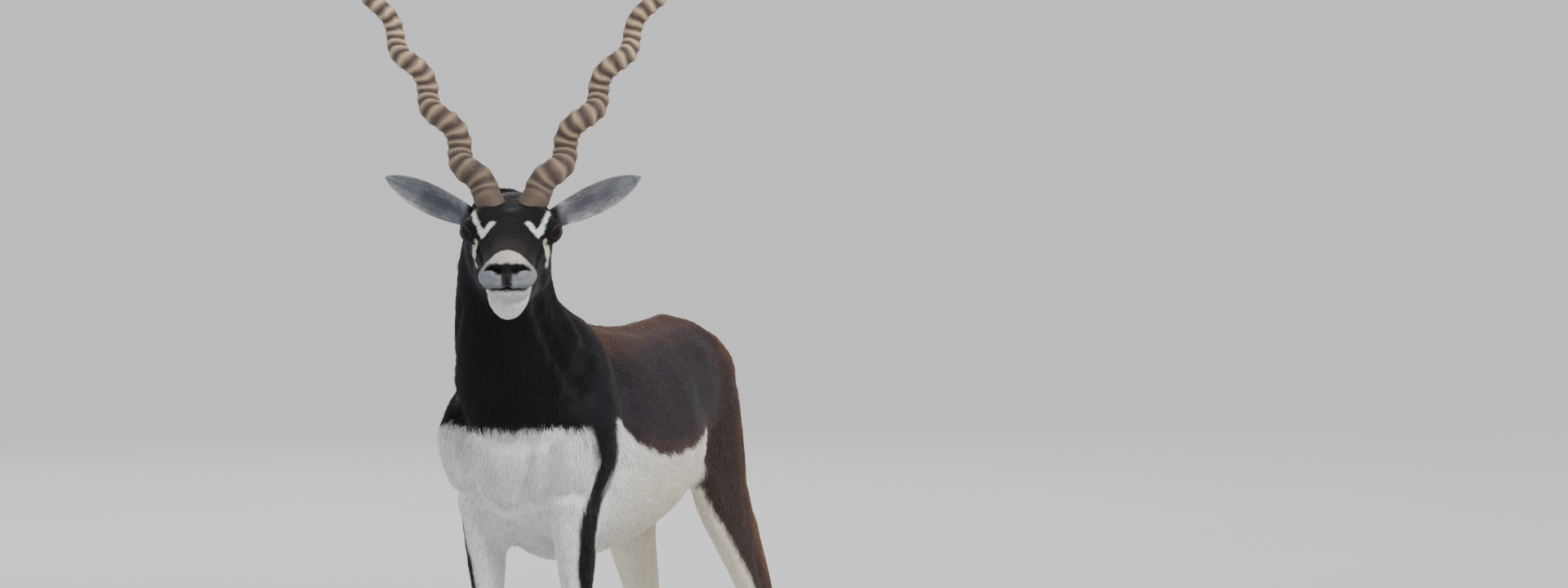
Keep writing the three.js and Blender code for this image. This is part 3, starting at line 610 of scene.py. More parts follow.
# The same for the head: left, forward and up in hundredths of the head
FACE = {
    "brow": ([(10, 30, 0.6), (16.0, 38, -2.6), (17.2, 44, -4.8)], 2.6, 0.7),
    "upper lid": ([(21.6, 35.5, -8.0), (20.8, 40.5, -6.2), (18.0, 46.0, -8.2)], 1.0, 0.35),
    "crease over the lid": ([(20.8, 33.5, -6.0), (19.4, 40.0, -3.6), (16.6, 46.4, -5.8)], 0.7, -0.5),
    "crease below the lid": ([(22.0, 36.0, -15.4), (20.4, 41.5, -17.2), (17.2, 46.6, -15.4)], 0.8, -0.45),
    "temple": ([(18.6, 27, -12), (19.6, 29, -20)], 4.4, -1.7),
    "eye socket": ([(17.6, 46.5, -16.5), (15.0, 50, -12.0)], 1.9, -1.1),
    "gland before the eye": ([(15.2, 52, -14.5), (13.4, 60, -18.5)], 1.1, -2.3),
    "gland's upper lip": ([(15.0, 52, -11.9), (12.8, 60.5, -15.8)], 1.3, 0.5),
    "gland's lower lip": ([(15.8, 51, -17.6), (13.6, 60, -21.6)], 1.4, 0.7),
    "cheek bone": ([(19.2, 40, -21), (15.2, 52, -24.4), (12.4, 62, -25.6)], 2.2, 0.9),
    "below the cheek bone": ([(17.0, 44, -29), (12.2, 60, -31.5)], 2.6, -0.9),
    "side of the nose": ([(10.0, 56, -9.4), (8.4, 78, -10.6)], 2.8, -0.8),
    "horn's foot": ([(11.4, 24.5, 0.4), (12.0, 23.0, 1.0)], 6.0, 1.5),
    "ear's foot": ([(16.6, 15.4, -13.6), (18.0, 15.0, -13.0)], 4.6, 1.6),
    "nostril wing": ([(3.4, 96.4, -8.0), (7.6, 92.6, -8.0), (10.2, 88.2, -10.6)], 1.6, 1.0),
    "nostril's lower rim": ([(4.2, 98.2, -14.4), (8.4, 94.8, -14.2), (10.6, 90.6, -13.6)], 1.5, 0.9),
    "nostril": (
        [
            (3.4, 97.4, -12.0), (4.6, 96.8, -10.8), (7.0, 95.2, -10.2), (8.8, 93.2, -11.0),
            (9.2, 92.2, -12.6),
        ],
        1.25, -3.4,
    ),
    "upper lip": ([(3.4, 99.0, -17.4), (8.8, 94.5, -17.6), (11.8, 86, -18.0), (11.2, 78, -21.0)], 2.3, 0.9),
    "mouth": (
        [(0, 100.0, -20.6), (5.2, 98.0, -20.8), (9.4, 93.0, -21.6), (11.2, 84, -23.2), (10.6, 75, -25.4)],
        0.9, -2.7,
    ),
    "lower lip": ([(0, 97.6, -23.4), (5.4, 95.2, -23.6), (9.4, 88, -24.8)], 1.6, 0.8),
    "beneath the lower lip": ([(0, 95.6, -28.4), (5.4, 91, -28.8), (9.4, 83, -29.6)], 1.7, -0.8),
    "chin": ([(0, 89.5, -36.0), (2.8, 86.5, -36.2)], 3.6, 0.9),
    "jaw's edge": ([(10.8, 44, -45), (8.6, 62, -42)], 2.2, 0.5),
    "between the jaws": ([(0, 40, -50), (0, 74, -42.5)], 3.2, -1.5),
}
FACE_MIDLINE = {
    "nose bridge": ([(0, 44, -1.4), (0, 70, -5.6), (0, 90, -7.4)], 3.8, 0.6),
    "forehead": ([(0, 24, 2), (0, 36, 1)], 3.4, -0.8),
    "between the nostrils": ([(0, 98.8, -11.0), (0, 100.4, -14.5)], 1.5, 0.5),
    "lip groove": ([(0, 100.9, -14.5), (0, 100.4, -20)], 0.8, -1.3),
}


def laid(space, line, side=1):
    """A line on one side, cut at about every one and a half hundredths and laid on the nearest points of
    the surface."""
    line = sided(line, side)
    cuts = [
        np.linspace(a, b, 2 + int(np.linalg.norm(b - a) / 1.5))[:-1] for a, b in zip(line[:-1], line[1:])
    ]
    cuts = np.concatenate([*cuts, line[-1:]])
    near = space[((space > cuts.min(0) - 6) & (space < cuts.max(0) + 6)).all(1)]
    return near[np.argmin(((cuts[:, None] - near[None]) ** 2).sum(-1), axis=1)] if len(near) else cuts


def moulded(points, triangles, rows, side, scale, head=False):
    """Moves the surface along its normal by height times exp(-(distance / breadth)^2) for each line, on
    one side."""
    normals = normals_of(points, triangles)
    space = body_to_head(points) if head else points / PERCENT
    move = np.zeros(len(points))
    for line, breadth, height in rows.values():
        line = laid(space, line, side)
        low, high = line.min(0) - 3 * breadth, line.max(0) + 3 * breadth
        near = np.flatnonzero(((space > low) & (space < high)).all(1))
        move[near] += height * np.exp(-((from_line(space[near], line) / breadth) ** 2))
    return points + normals * (move * scale)[:, None]


def coat_depth(where):
    """How deep the coat stands over the skin, in metres."""
    legs = sum(where[leg] for leg in STRIDE)
    z = where["body"][:, 2]
    depth = between(4.0 + 1.5 * where["neck"] + 1.2 * step(66, 60, z), 1.2 + 2.4 * step(36, 74, z), legs)
    depth = between(depth, 0.9 + 1.6 * step(40, 5, where["in_head"][:, 1]), where["head"])
    return depth * 0.001


def head_refined(points, triangles):
    """Cuts the head's triangles finer twice, the second time only round the muzzle and the eyes, easing
    after each."""
    for low, only_features in ((2.0, False), (46.0, True)):
        where = places(points)
        left, forward, _ = where["in_head"].T
        fine = (where["head"] > 0.5) & (forward > low)
        if only_features:
            from_middle = np.linalg.norm(where["in_head"] - [0, 40, -11], axis=1)
            fine &= (forward > 72) | (np.abs(np.abs(left) - 15) < 6) & (from_middle < 30)
        before = len(points)
        points, triangles = refine(points, triangles, fine[triangles].all(1))
        amount = np.zeros(len(points))
        amount[before:] = 1.0
        amount[np.unique(triangles[(triangles >= before).any(1)])] = 1.0
        points = ease(points, triangles, amount, 3)
    return points, triangles


def opening_distances(points):
    """How far each point of the muzzle is from the line of the nearer nostril and from the parting of the
    lips."""
    space = body_to_head(points)
    muzzle = np.flatnonzero((space[:, 1] > 60) & (np.abs(space[:, 0]) < 20) & (space[:, 2] < 5))
    near = space[muzzle]
    found = np.full((len(points), 2), FAR)
    for column, name in enumerate(("nostril", "mouth")):
        for side in (1, -1):
            found[muzzle, column] = np.minimum(
                found[muzzle, column], from_line(near, laid(near, FACE[name][0], side)),
            )
    return found


def skin_surface():
    """The remeshed forms, eased at their joins, refined on the head, moulded, and drawn in by the coat's
    depth."""
    points, triangles = one_surface(*body_blank(), SKIN_VOXEL)
    where = places(points)
    z = where["body"][:, 2]
    joins = np.exp(-((from_line(points / PERCENT, NECK_PATH[-14:-2, :3]) / 13) ** 2)) * 0.5
    soft = np.clip(step(58, 68, z) * step(100, 92, z) + 0.8 * where["neck"] + joins, 0, 1)
    points = ease(points, triangles, 0.9, 7)
    points = ease(points, triangles, soft, 22)
    points, triangles = head_refined(points, triangles)
    for rows, side in ((MUSCLES, 1), (MUSCLES, -1), (MIDLINE, 1), (NECK_MUSCLES, 1)):
        points = moulded(points, triangles, rows, side, PERCENT)
    points = points - normals_of(points, triangles) * coat_depth(places(points))[:, None]
    openings = opening_distances(points)
    for rows, side in ((FACE, 1), (FACE, -1), (FACE_MIDLINE, 1)):
        points = moulded(points, triangles, rows, side, HEAD_PERCENT, head=True)
    return socketed(points), triangles, openings


def gaze_of(side):
    """The eye's middle in the body's space, the way it looks, the way along its lids, and the way up
    across them."""
    middle = head_to_body(on_head(EYE_AT, side))
    look = unit(turned(sided(GAZE, side), HEAD_PITCH, HEAD_YAW))
    along = turned(sided(LIDS_ALONG, side), HEAD_PITCH, HEAD_YAW)
    along = unit(along - look * (along @ look))
    up = np.cross(along, look)
    return middle, look, along, up * np.sign(up[2])


def opening(bearing):
    """How far the lids open at each bearing round the gaze, in radians on the ball: long and level,
    pointed at both corners."""
    long, tall = 0.87, np.where(np.sin(bearing) > 0, 0.49, 0.47)
    return (np.abs(np.cos(bearing) / long) ** 1.6 + np.abs(np.sin(bearing) / tall) ** 1.6) ** (-1 / 1.6)


def socketed(points):
    """Round each eye the skin keeps 0.9 mm clear of the ball, and inside the lids' opening it sinks below
    its surface."""
    for side in (1, -1):
        middle, look, along, up = gaze_of(side)
        away = points - middle
        distance = np.linalg.norm(away, axis=1)
        direction = unit(away)
        polar = np.arccos(np.clip(direction @ look, -1, 1))
        edge = opening(np.arctan2(away @ up, away @ along))
        near = (distance < EYE_RADIUS * 2.0) & (polar < 1.5)
        inside = near & (polar < edge)
        points = np.where(inside[:, None], middle + direction * (EYE_RADIUS * 0.88), points)
        covered = near & ~inside & (distance < EYE_RADIUS + 0.0009)
        points = np.where(covered[:, None], middle + direction * (EYE_RADIUS + 0.0009), points)
    return points


def ear_surface(side):
    """A cupped leaf: its outline is the back's curve out and the hollow's curve home, closed to a tube at
    the foot."""
    along = unit(sided(EAR_ALONG, side))
    facing = sided(EAR_FACING, side)
    facing = unit(facing - along * (facing @ along))
    across = np.cross(along, facing)
    share = np.concatenate([np.linspace(-0.1, 0.9, 60), np.linspace(0.91, 1.0, 14)])[:, None]
    half, depth = (read(EAR, np.clip(share[:, 0], 0, 1)) * 0.001).T[:, :, None]
    angles = circle(56)[None, :]
    c, s = np.cos(angles), np.sin(angles)
    cup = step(0.1, 0.34, share) * step(1.0, 0.9, share)
    wall = 0.0016
    back = -depth * np.abs(s) ** 0.9
    front = (1 - cup) * depth * np.abs(s) ** 0.9 + cup * (-(depth - wall) * np.abs(s) ** 0.75)
    front = front + cup * 0.0012 * np.exp(-((c - 0.1) / 0.22) ** 2)
    bend = 0.0012 * np.sin(np.clip(share, 0, 1) * math.pi)
    up = np.where(s < 0, back, front) + 0.0015 * cup * c * c + bend
    centre = on_head(EAR_ROOT, side) + along * share[..., None] * EAR_LENGTH
    points, triangles = closed(centre + across * (half * 0.97 * c)[..., None] + facing * up[..., None])
    leaf = np.stack(
        [np.clip(share, 0.001, 1) + 0 * c, np.abs(c) + 0 * share, (s > 0) + 0 * share], -1,
    ).reshape(-1, 3)
    return head_to_body(points), triangles, np.concatenate([leaf, [[0.001, 0, 0], [1, 1, 0]]])


def horn_point(share, side):
    """The middle of the horn: straight along its axis, swung round it by swing times the cosine and sine
    of its turns."""
    axis = unit(sided(HORN_LEAN, side))
    out = unit(np.array([side, 0, 0]) - axis * (side * axis[0]))
    forward = np.cross(out, axis) * side
    held = np.clip(share, 0, 1)[..., None]
    turn = 2 * math.pi * (held - 0.17 * held**5) * HORN_LENGTH / HORN_PITCH + HORN_PHASE
    swing = HORN_SWING * np.minimum(1, held * 14) * (1 - held**2.4)
    place = on_head(HORN_AT, side) + axis * np.asarray(share)[..., None] * HORN_LENGTH
    return place + out * swing * np.cos(turn) - forward * swing * np.sin(turn), forward


def horn_surface(side):
    """Rings square to the spiral, each radius raised by sharp ridges that fade to the smooth tip, and fine
    long grooves."""
    share = np.concatenate([np.linspace(-0.05, 0.82, 640), np.linspace(0.823, 0.999, 60)])
    middle, forward = horn_point(share, side)
    path = unit(np.gradient(middle, axis=0))
    across = unit(np.cross(path, forward))
    up = np.cross(across, path)
    angles = circle(44)[None, :]
    radius = curve(HORN, share)[:, None] * 0.001
    at = share[:, None]
    crowd = 38.0 * (at + 0.03 * at * at)
    tilt = (
        0.10 * np.sin(angles + 1.0) + 0.05 * np.sin(2 * angles + at * 31)
        + 0.05 * np.sin(3 * angles - at * 47)
    )
    wave = np.cos(2 * math.pi * (crowd + tilt))
    crest = 2 * ((1 + wave) / 2) ** 1.25 - 0.85
    strength = (1.9 - 1.0 * at) * (0.45 + 0.55 * step(0.02, 0.16, at)) * step(-0.02, 0.03, at)
    strength = strength * step(HORN_RINGED + 0.03, HORN_RINGED - 0.16, at)
    strength = strength * (0.78 + 0.22 * np.cos(angles - 2.2 + at * 5)) * (
        1 + 0.18 * np.sin(crowd * 2.3 * math.pi + 1)
    )
    grooves = 0.16 * np.sin(angles * 17 + 6 * np.sin(at * 19)) * step(0.0, 0.1, at) * (1 - at)
    grooves = grooves + 0.10 * np.sin(angles * 29 + at * 60)
    grown = radius + (strength * (0.62 * crest - 0.05) + grooves * step(1.0, 0.9, at)) * 0.001
    grid = middle[:, None] + across[:, None] * (grown * np.cos(angles))[..., None]
    points, triangles = closed(grid + up[:, None] * (grown * np.sin(angles))[..., None])
    ridge = ringed(crest * np.minimum(1, strength / 0.9))
    # Where the horn's finish paints shade along the bottom of each groove
    line = ringed(((1 - wave) / 2) ** 5 * np.minimum(1, strength / 0.7))
    return head_to_body(points), triangles, {
        "ridge": ridge, "along_horn": ringed(at + 0 * angles, (-0.05, 1.0)), "groove_line": line,
    }


def hoof_surface(leg, toe):
    """One toe's horn: rings that lean forward to the tip, with its sole flat, its inner wall straight and
    its toe curled in."""
    rows, out, middle = foot(leg, toe)
    front, back = rows[0][1:3]
    heel = ((front + back) / 2 + STRIDE[leg] * (1 - 3.3 / HIP)) * PERCENT_MM + 4
    wall = [
        [0, 32.4, 12.6, 7.8], [1.2, 33, 13, 8.2], [7, 31.5, 13.5, 8.4], [15, 26, 13, 7.9],
        [24.1, 18.5, 11, 7.0],
    ]
    height = np.concatenate([[0.0, 0.5], np.linspace(1.2, 24.1, 34)])
    ahead, behind, half = read(wall, height).T[:, :, None]
    angles = circle(48)[None, :]
    wide, long = outline(angles, 1.75)
    rings = 0.16 * np.sin(height[:, None] * 2.1 + 0.6 * np.sin(angles * 2)) * step(1.5, 4, height[:, None])
    y = heel + np.where(long > 0, behind, ahead) * long * (1 + rings / 26)
    x = middle + out * 8.9 + (half + rings) * wide
    x = x - out * 2.4 * (np.maximum(0, heel - y) / 33) ** 2
    return closed(np.stack([x, y, height[:, None] + 0 * x], -1) * 0.001)


def dewclaw_surface(leg, toe):
    """A small egg of horn behind the fetlock, its lower half drawn to a blunt point."""
    points, triangles = ball((0.0045, 0.0062, 0.0086), (0, 0, 0))
    points[:, :2] *= (1 - 0.25 * step(0.002, -0.009, points[:, 2]))[:, None]
    points = turned(points, -0.5)
    return points + spur_place(leg, toe), triangles


def eye_surface(side):
    """A ball a little within the lids, whose front bulges as the clear window does: 0.6 mm more round the
    gaze."""
    middle, look, along, up = gaze_of(side)
    polar = np.concatenate([np.linspace(0.01, 1.0, 44), np.linspace(1.06, math.pi - 0.02, 22)])[:, None]
    angles = circle(72)[None, :]
    level, upright = np.sin(polar) * np.cos(angles), np.sin(polar) * np.sin(angles)
    radius = EYE_RADIUS * 0.985 + 0.0006 * step(0.62, 0.3, polar)
    grid = middle + look * (radius * np.cos(polar) + 0 * angles)[..., None]
    points, triangles = closed(
        grid + along * (radius * level)[..., None] + up * (radius * upright)[..., None]
    )
    off = np.degrees(ringed(polar + 0 * angles, (0, math.pi)))
    pupil = step(1.12, 0.9, np.hypot(ringed(level) / 0.30, ringed(upright) / 0.15)) * step(80, 60, off)
    return points, triangles, {"off_gaze": off / 180, "pupil": pupil}


def lid_surface(side):
    """The bare rim of both lids: a thin roll carried along their opening over the ball, thicker along the
    upper lid."""
    middle, look, along, up = gaze_of(side)
    bearing = circle(132)[:, None]
    turn = circle(16)[None, :]
    upper = step(-0.2, 0.9, np.sin(bearing))
    breadth, height = 0.0011 + 0.0005 * upper, 0.0009 + 0.0004 * upper
    wide = opening(bearing) + (breadth * np.cos(turn) + 0.0004) / EYE_RADIUS
    tall = EYE_RADIUS + 0.0003 + height * np.sin(turn)
    heading = along * np.cos(bearing)[..., None] + up * np.sin(bearing)[..., None]
    grid = middle + look * (tall * np.cos(wide))[..., None] + heading * (tall * np.sin(wide))[..., None]
    rings, sides = grid.shape[:2]
    index = np.arange(rings * sides).reshape(rings, sides)
    ahead, round_ = np.roll(index, -1, axis=0), np.roll(index, -1, axis=1)
    both = np.roll(ahead, -1, axis=1)
    triangles = squares(index, ahead, both, round_)
    points = grid.reshape(-1, 3)
    return points, outward(points - middle, triangles)


# Markings
BLACK, SOFT_BLACK, FLANK_BLACK = colour(13, 12, 17), colour(26, 24, 31), colour(50, 44, 51)
SADDLE, RUMP, TAN = colour(88, 60, 48), colour(108, 76, 56), colour(160, 122, 90)
# The shaded white is painted shade, used on the chin just below the lip
WHITE, CREAM, SHADE_WHITE = colour(240, 239, 236), colour(240, 232, 212), colour(206, 206, 208)
# The ear's hollow colour here is painted shade
EAR_BLUE, EAR_HOLLOW_SHADE, EAR_RIM = colour(128, 131, 139), colour(76, 77, 86), colour(176, 176, 177)
# The pale nose colour holds a painted highlight and the pale lip colour painted shade
NOSE_BLACK, NOSE_PALE_PAINTED_HIGHLIGHT, LIP_GREY, LIP_PALE_PAINTED_SHADE = (
    colour(16, 15, 18), colour(216, 209, 200), colour(86, 89, 97), colour(140, 143, 149)
)
LIP_DARK, NOSE_BROWN, EAR_BACK, EDGE_BROWN = (
    colour(46, 46, 52), colour(50, 40, 38), colour(70, 58, 54), colour(84, 60, 50)
)
HIND_DARK, CANNON_DARK, CUFF, SPUR_HAIR = (
    colour(58, 47, 46), colour(60, 50, 46), colour(70, 60, 58), colour(62, 54, 52)
)
POUCH_DARK, TAIL_DARK = colour(52, 46, 48), colour(64, 48, 44)
# how high the white reaches along the flank: back, up
WHITE_EDGE = [
    [-20, 83.0], [-10, 83.2], [-2, 83.7], [3, 83.2], [8.3, 81.9], [10.7, 80.7], [13.4, 78.7], [15.5, 77.9],
    [18.5, 76.9], [21.8, 75.9],
    [29, 75.5], [33, 75.8], [40, 76.6], [47, 77.4], [52, 77.6], [57, 76], [62, 70], [70, 66],
]
# height up a leg, and the angle from outward where the dark outer side begins in front
FORE_STRIPE = {
    "left": [[0, -48], [45, -48], [59.6, -46], [66, -34], [73.7, -24], [80, -36], [84, -44], [90, -50]],
    "right": [[0, -84], [45, -84], [59.6, -80], [66, -62], [73.7, -40], [80, -40], [84, -44], [90, -50]],
}
# height up a foreleg, and the angle from outward where the dark side ends behind
FORE_REAR = [
    [0, 100], [10, 100], [35, 76], [50, 60], [60.9, 48], [66.3, 38], [70.5, 26], [74.9, 11], [78.8, 10],
    [83.6, 15], [86, 42], [90, 85], [96, 120],
]
HIND_STRIPE = [[0, -40], [30, -42], [48.8, -44], [53, -50], [57.8, -54], [67.6, -79], [76, -86], [84, -90]]


def legs_coloured(tint, points, where, fringe):
    """Adds each leg's dark outer side, the cuff above its hooves and the dark hair round its dewclaws."""
    _, y, z = where["body"].T
    for leg in STRIDE:
        end, side = leg.split("_")
        angle = where[leg + "_angle"]
        if end == "fore":
            dark = step(-7, 7, angle - curve(FORE_STRIPE[side], z) + 9 * fringe)
            dark = dark * step(9, -9, angle - curve(FORE_REAR, z) + 9 * fringe)
            shade = blend(BLACK, SOFT_BLACK, step(60, 86, z))
            weight = where[leg + "_near"] * step(96, 90, z) * step(14, 9, y)
        else:
            dark = step(-8, 8, angle - curve(HIND_STRIPE, z) + 6 * fringe)
            dark = dark * step(118, 96, angle + 6 * fringe + 20 * step(70, 50, z))
            shade = blend(HIND_DARK, RUMP, step(-10, 60, angle + 10 * wander(points, 0.05, 5)))
            shade = blend(shade, TAN, 0.6 * step(50, 90, angle) * step(76, 60, z))
            shade = blend(shade, CANNON_DARK, step(34, 26, z))
            weight = where[leg + "_near"] * step(97, 93, z) * step(54.5, 57.5, y)
        tint = blend(tint, shade, weight * dark)
        cuff = where[leg] * step(12.5, 10.0, z) * step(2.0, 4.0, z) * step(-120, -60, -np.abs(angle + 90))
        tint = blend(tint, CUFF, 0.6 * cuff)
        for toe in TOES:
            spur = np.linalg.norm(points - spur_place(leg, toe), axis=1)
            tint = blend(tint, SPUR_HAIR, 0.85 * step(0.0145, 0.0095, spur))
    return tint


def coat_colour(points, where, fray=1.0):
    """The animal's markings at any place: black above, white below, brown on the saddle and rump, and the
    face's marks."""
    x, y, z = where["body"].T
    fringe = fray * (0.20 * wander(points, 0.012, 1) + 0.26 * wander(points, 0.05, 2))
    tint = blend(BLACK, SOFT_BLACK, step(-14, 0, y + 0.4 * (x - 3)) * step(108, 96, z))
    tint = blend(tint, FLANK_BLACK, step(2, 14, y))
    brown = step(91.5, 97.5, z + 1.2 * wander(points, 0.07, 3)) * step(-3, 8, y)
    tint = blend(tint, SADDLE, 0.85 * brown)
    rear = step(60, 84, y + 2.5 * wander(points, 0.08, 4) - 0.16 * (z - 75))
    tint = blend(tint, RUMP, 0.85 * rear)
    low_rear = step(80, 88, y + 0.10 * (76 - z)) * step(90, 76, z)
    tint = blend(tint, TAN, 0.7 * low_rear)
    above = z - curve(WHITE_EDGE, y) - fringe
    warm = np.exp(-((above - 1.0) / 1.6) ** 2) * step(10, 20, y) * step(60, 52, y)
    tint = blend(tint, EDGE_BROWN, 0.6 * warm)
    white = blend(WHITE, CREAM, step(5, 25, y) * step(84, 66, z))
    haunch = np.maximum(where["hind_left_near"], where["hind_right_near"]) * step(56, 60, y)
    pale = np.maximum(step(0.4, -0.5, above) * (1 - haunch), haunch * step(80, 77, z + fringe))
    tint = legs_coloured(blend(tint, white, pale), points, where, fringe)
    patch = step(80.5, 82.5, y + fringe) * step(
        6.4, 4.6, np.abs(x) + 0.6 * fringe,
    ) * step(91, 88, z) * step(62, 66, z)
    tint = blend(tint, WHITE, patch)
    pouch = step(4.2, 3.2, np.hypot(x, y - 76)) * step(74.5, 72.5, z)
    tint = blend(tint, POUCH_DARK, pouch * step(60, 64, z))
    tint = blend(tint, blend(TAIL_DARK, WHITE, step(1.1, 2.0, np.abs(x) + 0.5 * fringe)), where["tail"])
    return blend(tint, face_colour(points, where, fringe), where["head"])


EYE_MARK = [
    (18.4, 30.5, -1.2), (18.6, 35.0, -2.0), (18.0, 40.0, -3.0), (16.4, 45.0, -5.0), (14.8, 48.4, -7.4),
]
EYE_HOOK = [(14.6, 48.8, -7.8), (12.6, 51.6, -8.9), (10.4, 51.2, -7.0), (8.6, 49.2, -5.0)]
CHEEK_LINE = [(16.6, 46.6, -13.5), (17.0, 44.4, -20.0), (17.3, 40.0, -29.0)]
MOUTH_HEIGHT = [[60, -27.0], [75, -25.4], [84, -23.2], [93, -21.6], [98, -20.8], [101, -20.6]]


def folded_head(where):
    """Places in the head's own space, with both sides taken as the left."""
    return np.abs(where["in_head"]) * [1, 0, 0] + where["in_head"] * [0, 1, 1]


def face_colour(points, where, fringe):
    """The head's marks: black, pale hooks by the eyes and lines below them, a pale muzzle and chin with a
    painted highlight on the nose, painted shade on the lips and below them, and black nostrils."""
    folded = folded_head(where)
    left, forward, up = folded.T
    soft = 0.45 * fringe
    tint = blend(BLACK, NOSE_BROWN, 0.5 * step(62, 72, forward) * step(86, 80, forward) * step(-14, -8, up))
    tint = blend(tint, WHITE, step(2.0, 1.0, from_line(folded, EYE_MARK) + soft))
    tint = blend(tint, WHITE, step(2.5, 1.4, from_line(folded, EYE_HOOK) + soft))
    cheek = from_line(folded * [1, 0.3, 1], np.array(CHEEK_LINE) * [1, 0.3, 1])
    tint = blend(tint, CREAM, 0.8 * step(1.7, 0.8, cheek + 0.6 * soft))
    mouth_at = curve(MOUTH_HEIGHT, forward)
    arch = 82.6 + 0.16 * np.maximum(0, -7.5 - up) + 0.9 * soft
    muzzle = step(-0.8, 0.8, forward - arch) * step(-18.5, -15.5, up)
    lip_top = mouth_at + 4.2 + 6.5 * step(74, 86, forward)
    lip = step(66, 74, forward + soft) * step(0.9, -0.9, up - lip_top + 0.6 * soft)
    # The pale muzzle is painted brighter on top of the nose as painted highlight and greyer on the lips as
    # painted shade; it is greyer again along the mouth
    pale = blend(LIP_PALE_PAINTED_SHADE, NOSE_PALE_PAINTED_HIGHLIGHT, step(-13, -8.5, up))
    pale = blend(pale, LIP_GREY, 0.6 * np.exp(-(((up - mouth_at) / 1.9) ** 2)))
    tint = blend(tint, pale, np.maximum(muzzle, lip * step(mouth_at - 2, mouth_at - 1, up)))
    ragged = 3.0 * wander(points, 0.025, 8)
    chin = step(0.4, -0.6, up - mouth_at) * step(56, 70, forward + ragged + 0.45 * (up + 30))
    chin = chin * step(10.8, 9.2, left + 0.8 * soft - 0.35 * (up + 30))
    # The chin is painted greyer just below the lip as painted shade, whiter lower down
    tint = blend(tint, blend(SHADE_WHITE, WHITE, step(-27, -33, up)), chin)
    pad = step(89.5, 92.5, forward) * step(6.2, 4.4, left) * step(-14.2, -12.4, up) * step(-8.2, -9.4, up)
    stem = (
        step(92, 96, forward) * step(3.2, 2.0, left + 0.4 * soft) * step(-20.2, -17.6, up)
        * step(-11, -12.5, up)
    )
    tint = blend(tint, NOSE_BLACK, np.maximum(pad, 0.92 * stem))
    lips_meet = step(1.0, 0.3, np.abs(up - mouth_at)) * step(72, 80, forward)
    tint = blend(tint, LIP_DARK, 0.75 * lips_meet)
    eye = np.linalg.norm(folded - np.array(EYE_AT), axis=1)
    return blend(tint, BLACK, step(7.6, 7.0, eye))


# Materials
class Shading:
    """A material's node tree, with short ways to add and join its nodes."""

    def __init__(self, name, **values):
        self.material = bpy.data.materials.new(name)
        self.material.use_nodes = True
        self.tree = self.material.node_tree
        self.shader = self.tree.nodes["Principled BSDF"]
        for socket, value in values.items():
            self.shader.inputs[socket.replace("_", " ")].default_value = value
        self.place = self.add("ShaderNodeTexCoord").outputs["Object"]

    def add(self, kind, **settings):
        node = self.tree.nodes.new(kind)
        for key, value in settings.items():
            setattr(node, key, value)
        return node

    def feed(self, socket, value):
        if isinstance(value, bpy.types.NodeSocket):
            self.tree.links.new(value, socket)
        else:
            socket.default_value = value

    def noise(self, scale, detail=3.0, roughness=0.55, stretch=None, distortion=0.0):
        """Noise over the object's own coordinates, drawn out along an axis by stretch."""
        node = self.add("ShaderNodeTexNoise")
        place = self.place
        if stretch:
            multiply = self.add("ShaderNodeVectorMath", operation="MULTIPLY")
            self.feed(multiply.inputs[0], place)
            multiply.inputs[1].default_value = stretch
            place = multiply.outputs[0]
        self.feed(node.inputs["Vector"], place)
        node.inputs["Scale"].default_value, node.inputs["Detail"].default_value = scale, detail
        node.inputs["Roughness"].default_value, node.inputs["Distortion"].default_value = (
            roughness, distortion
        )
        return node.outputs["Fac"]

    def attribute(self, name, output="Fac"):
        return self.add("ShaderNodeAttribute", attribute_name=name).outputs[output]

    def ramp(self, value, stops):
        node = self.add("ShaderNodeValToRGB")
        self.feed(node.inputs[0], value)
        for _ in range(len(stops) - 2):
            node.color_ramp.elements.new(0.5)
        for element, (at, tint) in zip(node.color_ramp.elements, stops):
            element.position = at
            element.color = (*tint, 1.0) if len(np.shape(tint)) else (tint, tint, tint, 1.0)
        return node.outputs["Color"]

    def mix(self, share, first, second, how="MIX"):
        node = self.add("ShaderNodeMix", data_type="RGBA", blend_type=how)
        for socket, value in zip([node.inputs[0], node.inputs[6], node.inputs[7]], (share, first, second)):
            if not isinstance(value, (bpy.types.NodeSocket, float, int)):
                value = (*value, 1.0)
            self.feed(socket, value)
        return node.outputs[2]

    def times(self, first, second):
        """One colour multiplied by another."""
        return self.mix(1.0, first, second, "MULTIPLY")

    def math(self, how, first, second):
        node = self.add("ShaderNodeMath", operation=how)
        self.feed(node.inputs[0], first)
        self.feed(node.inputs[1], second)
        return node.outputs[0]

    def bump(self, height, strength, distance):
        node = self.add("ShaderNodeBump")
        node.inputs["Strength"].default_value, node.inputs["Distance"].default_value = strength, distance
        self.feed(node.inputs["Height"], height)
        self.feed(self.shader.inputs["Normal"], node.outputs[0])

    def finish(self, base, roughness=None):
        self.feed(self.shader.inputs["Base Color"], base)
        if roughness is not None:
            self.feed(self.shader.inputs["Roughness"], roughness)
        return self.material


def skin_finish():
    """Skin under the coat: the coat's own markings a little darker, streaked with fine hair and dusted
    unevenly."""
    m = Shading(
        "hide under the coat", Roughness=0.7, Specular_IOR_Level=0.15, Sheen_Weight=0.05,
        Sheen_Roughness=0.5,
    )
    hair = m.noise(420, 4.0, 0.6, stretch=(1.0, 0.35, 0.22))
    dust = m.noise(24, 4.0)
    streak = m.ramp(hair, [(0.3, 0.72), (0.7, 1.0)])
    base = m.times(m.attribute("coat_colour", "Color"), streak)
    base = m.mix(0.25, base, m.times(base, m.ramp(dust, [(0.35, 0.7), (0.65, 1.2)])))
    m.bump(hair, 0.3, 0.0012)
    return m.finish(base, m.ramp(dust, [(0.3, 0.62), (0.7, 0.82)]))


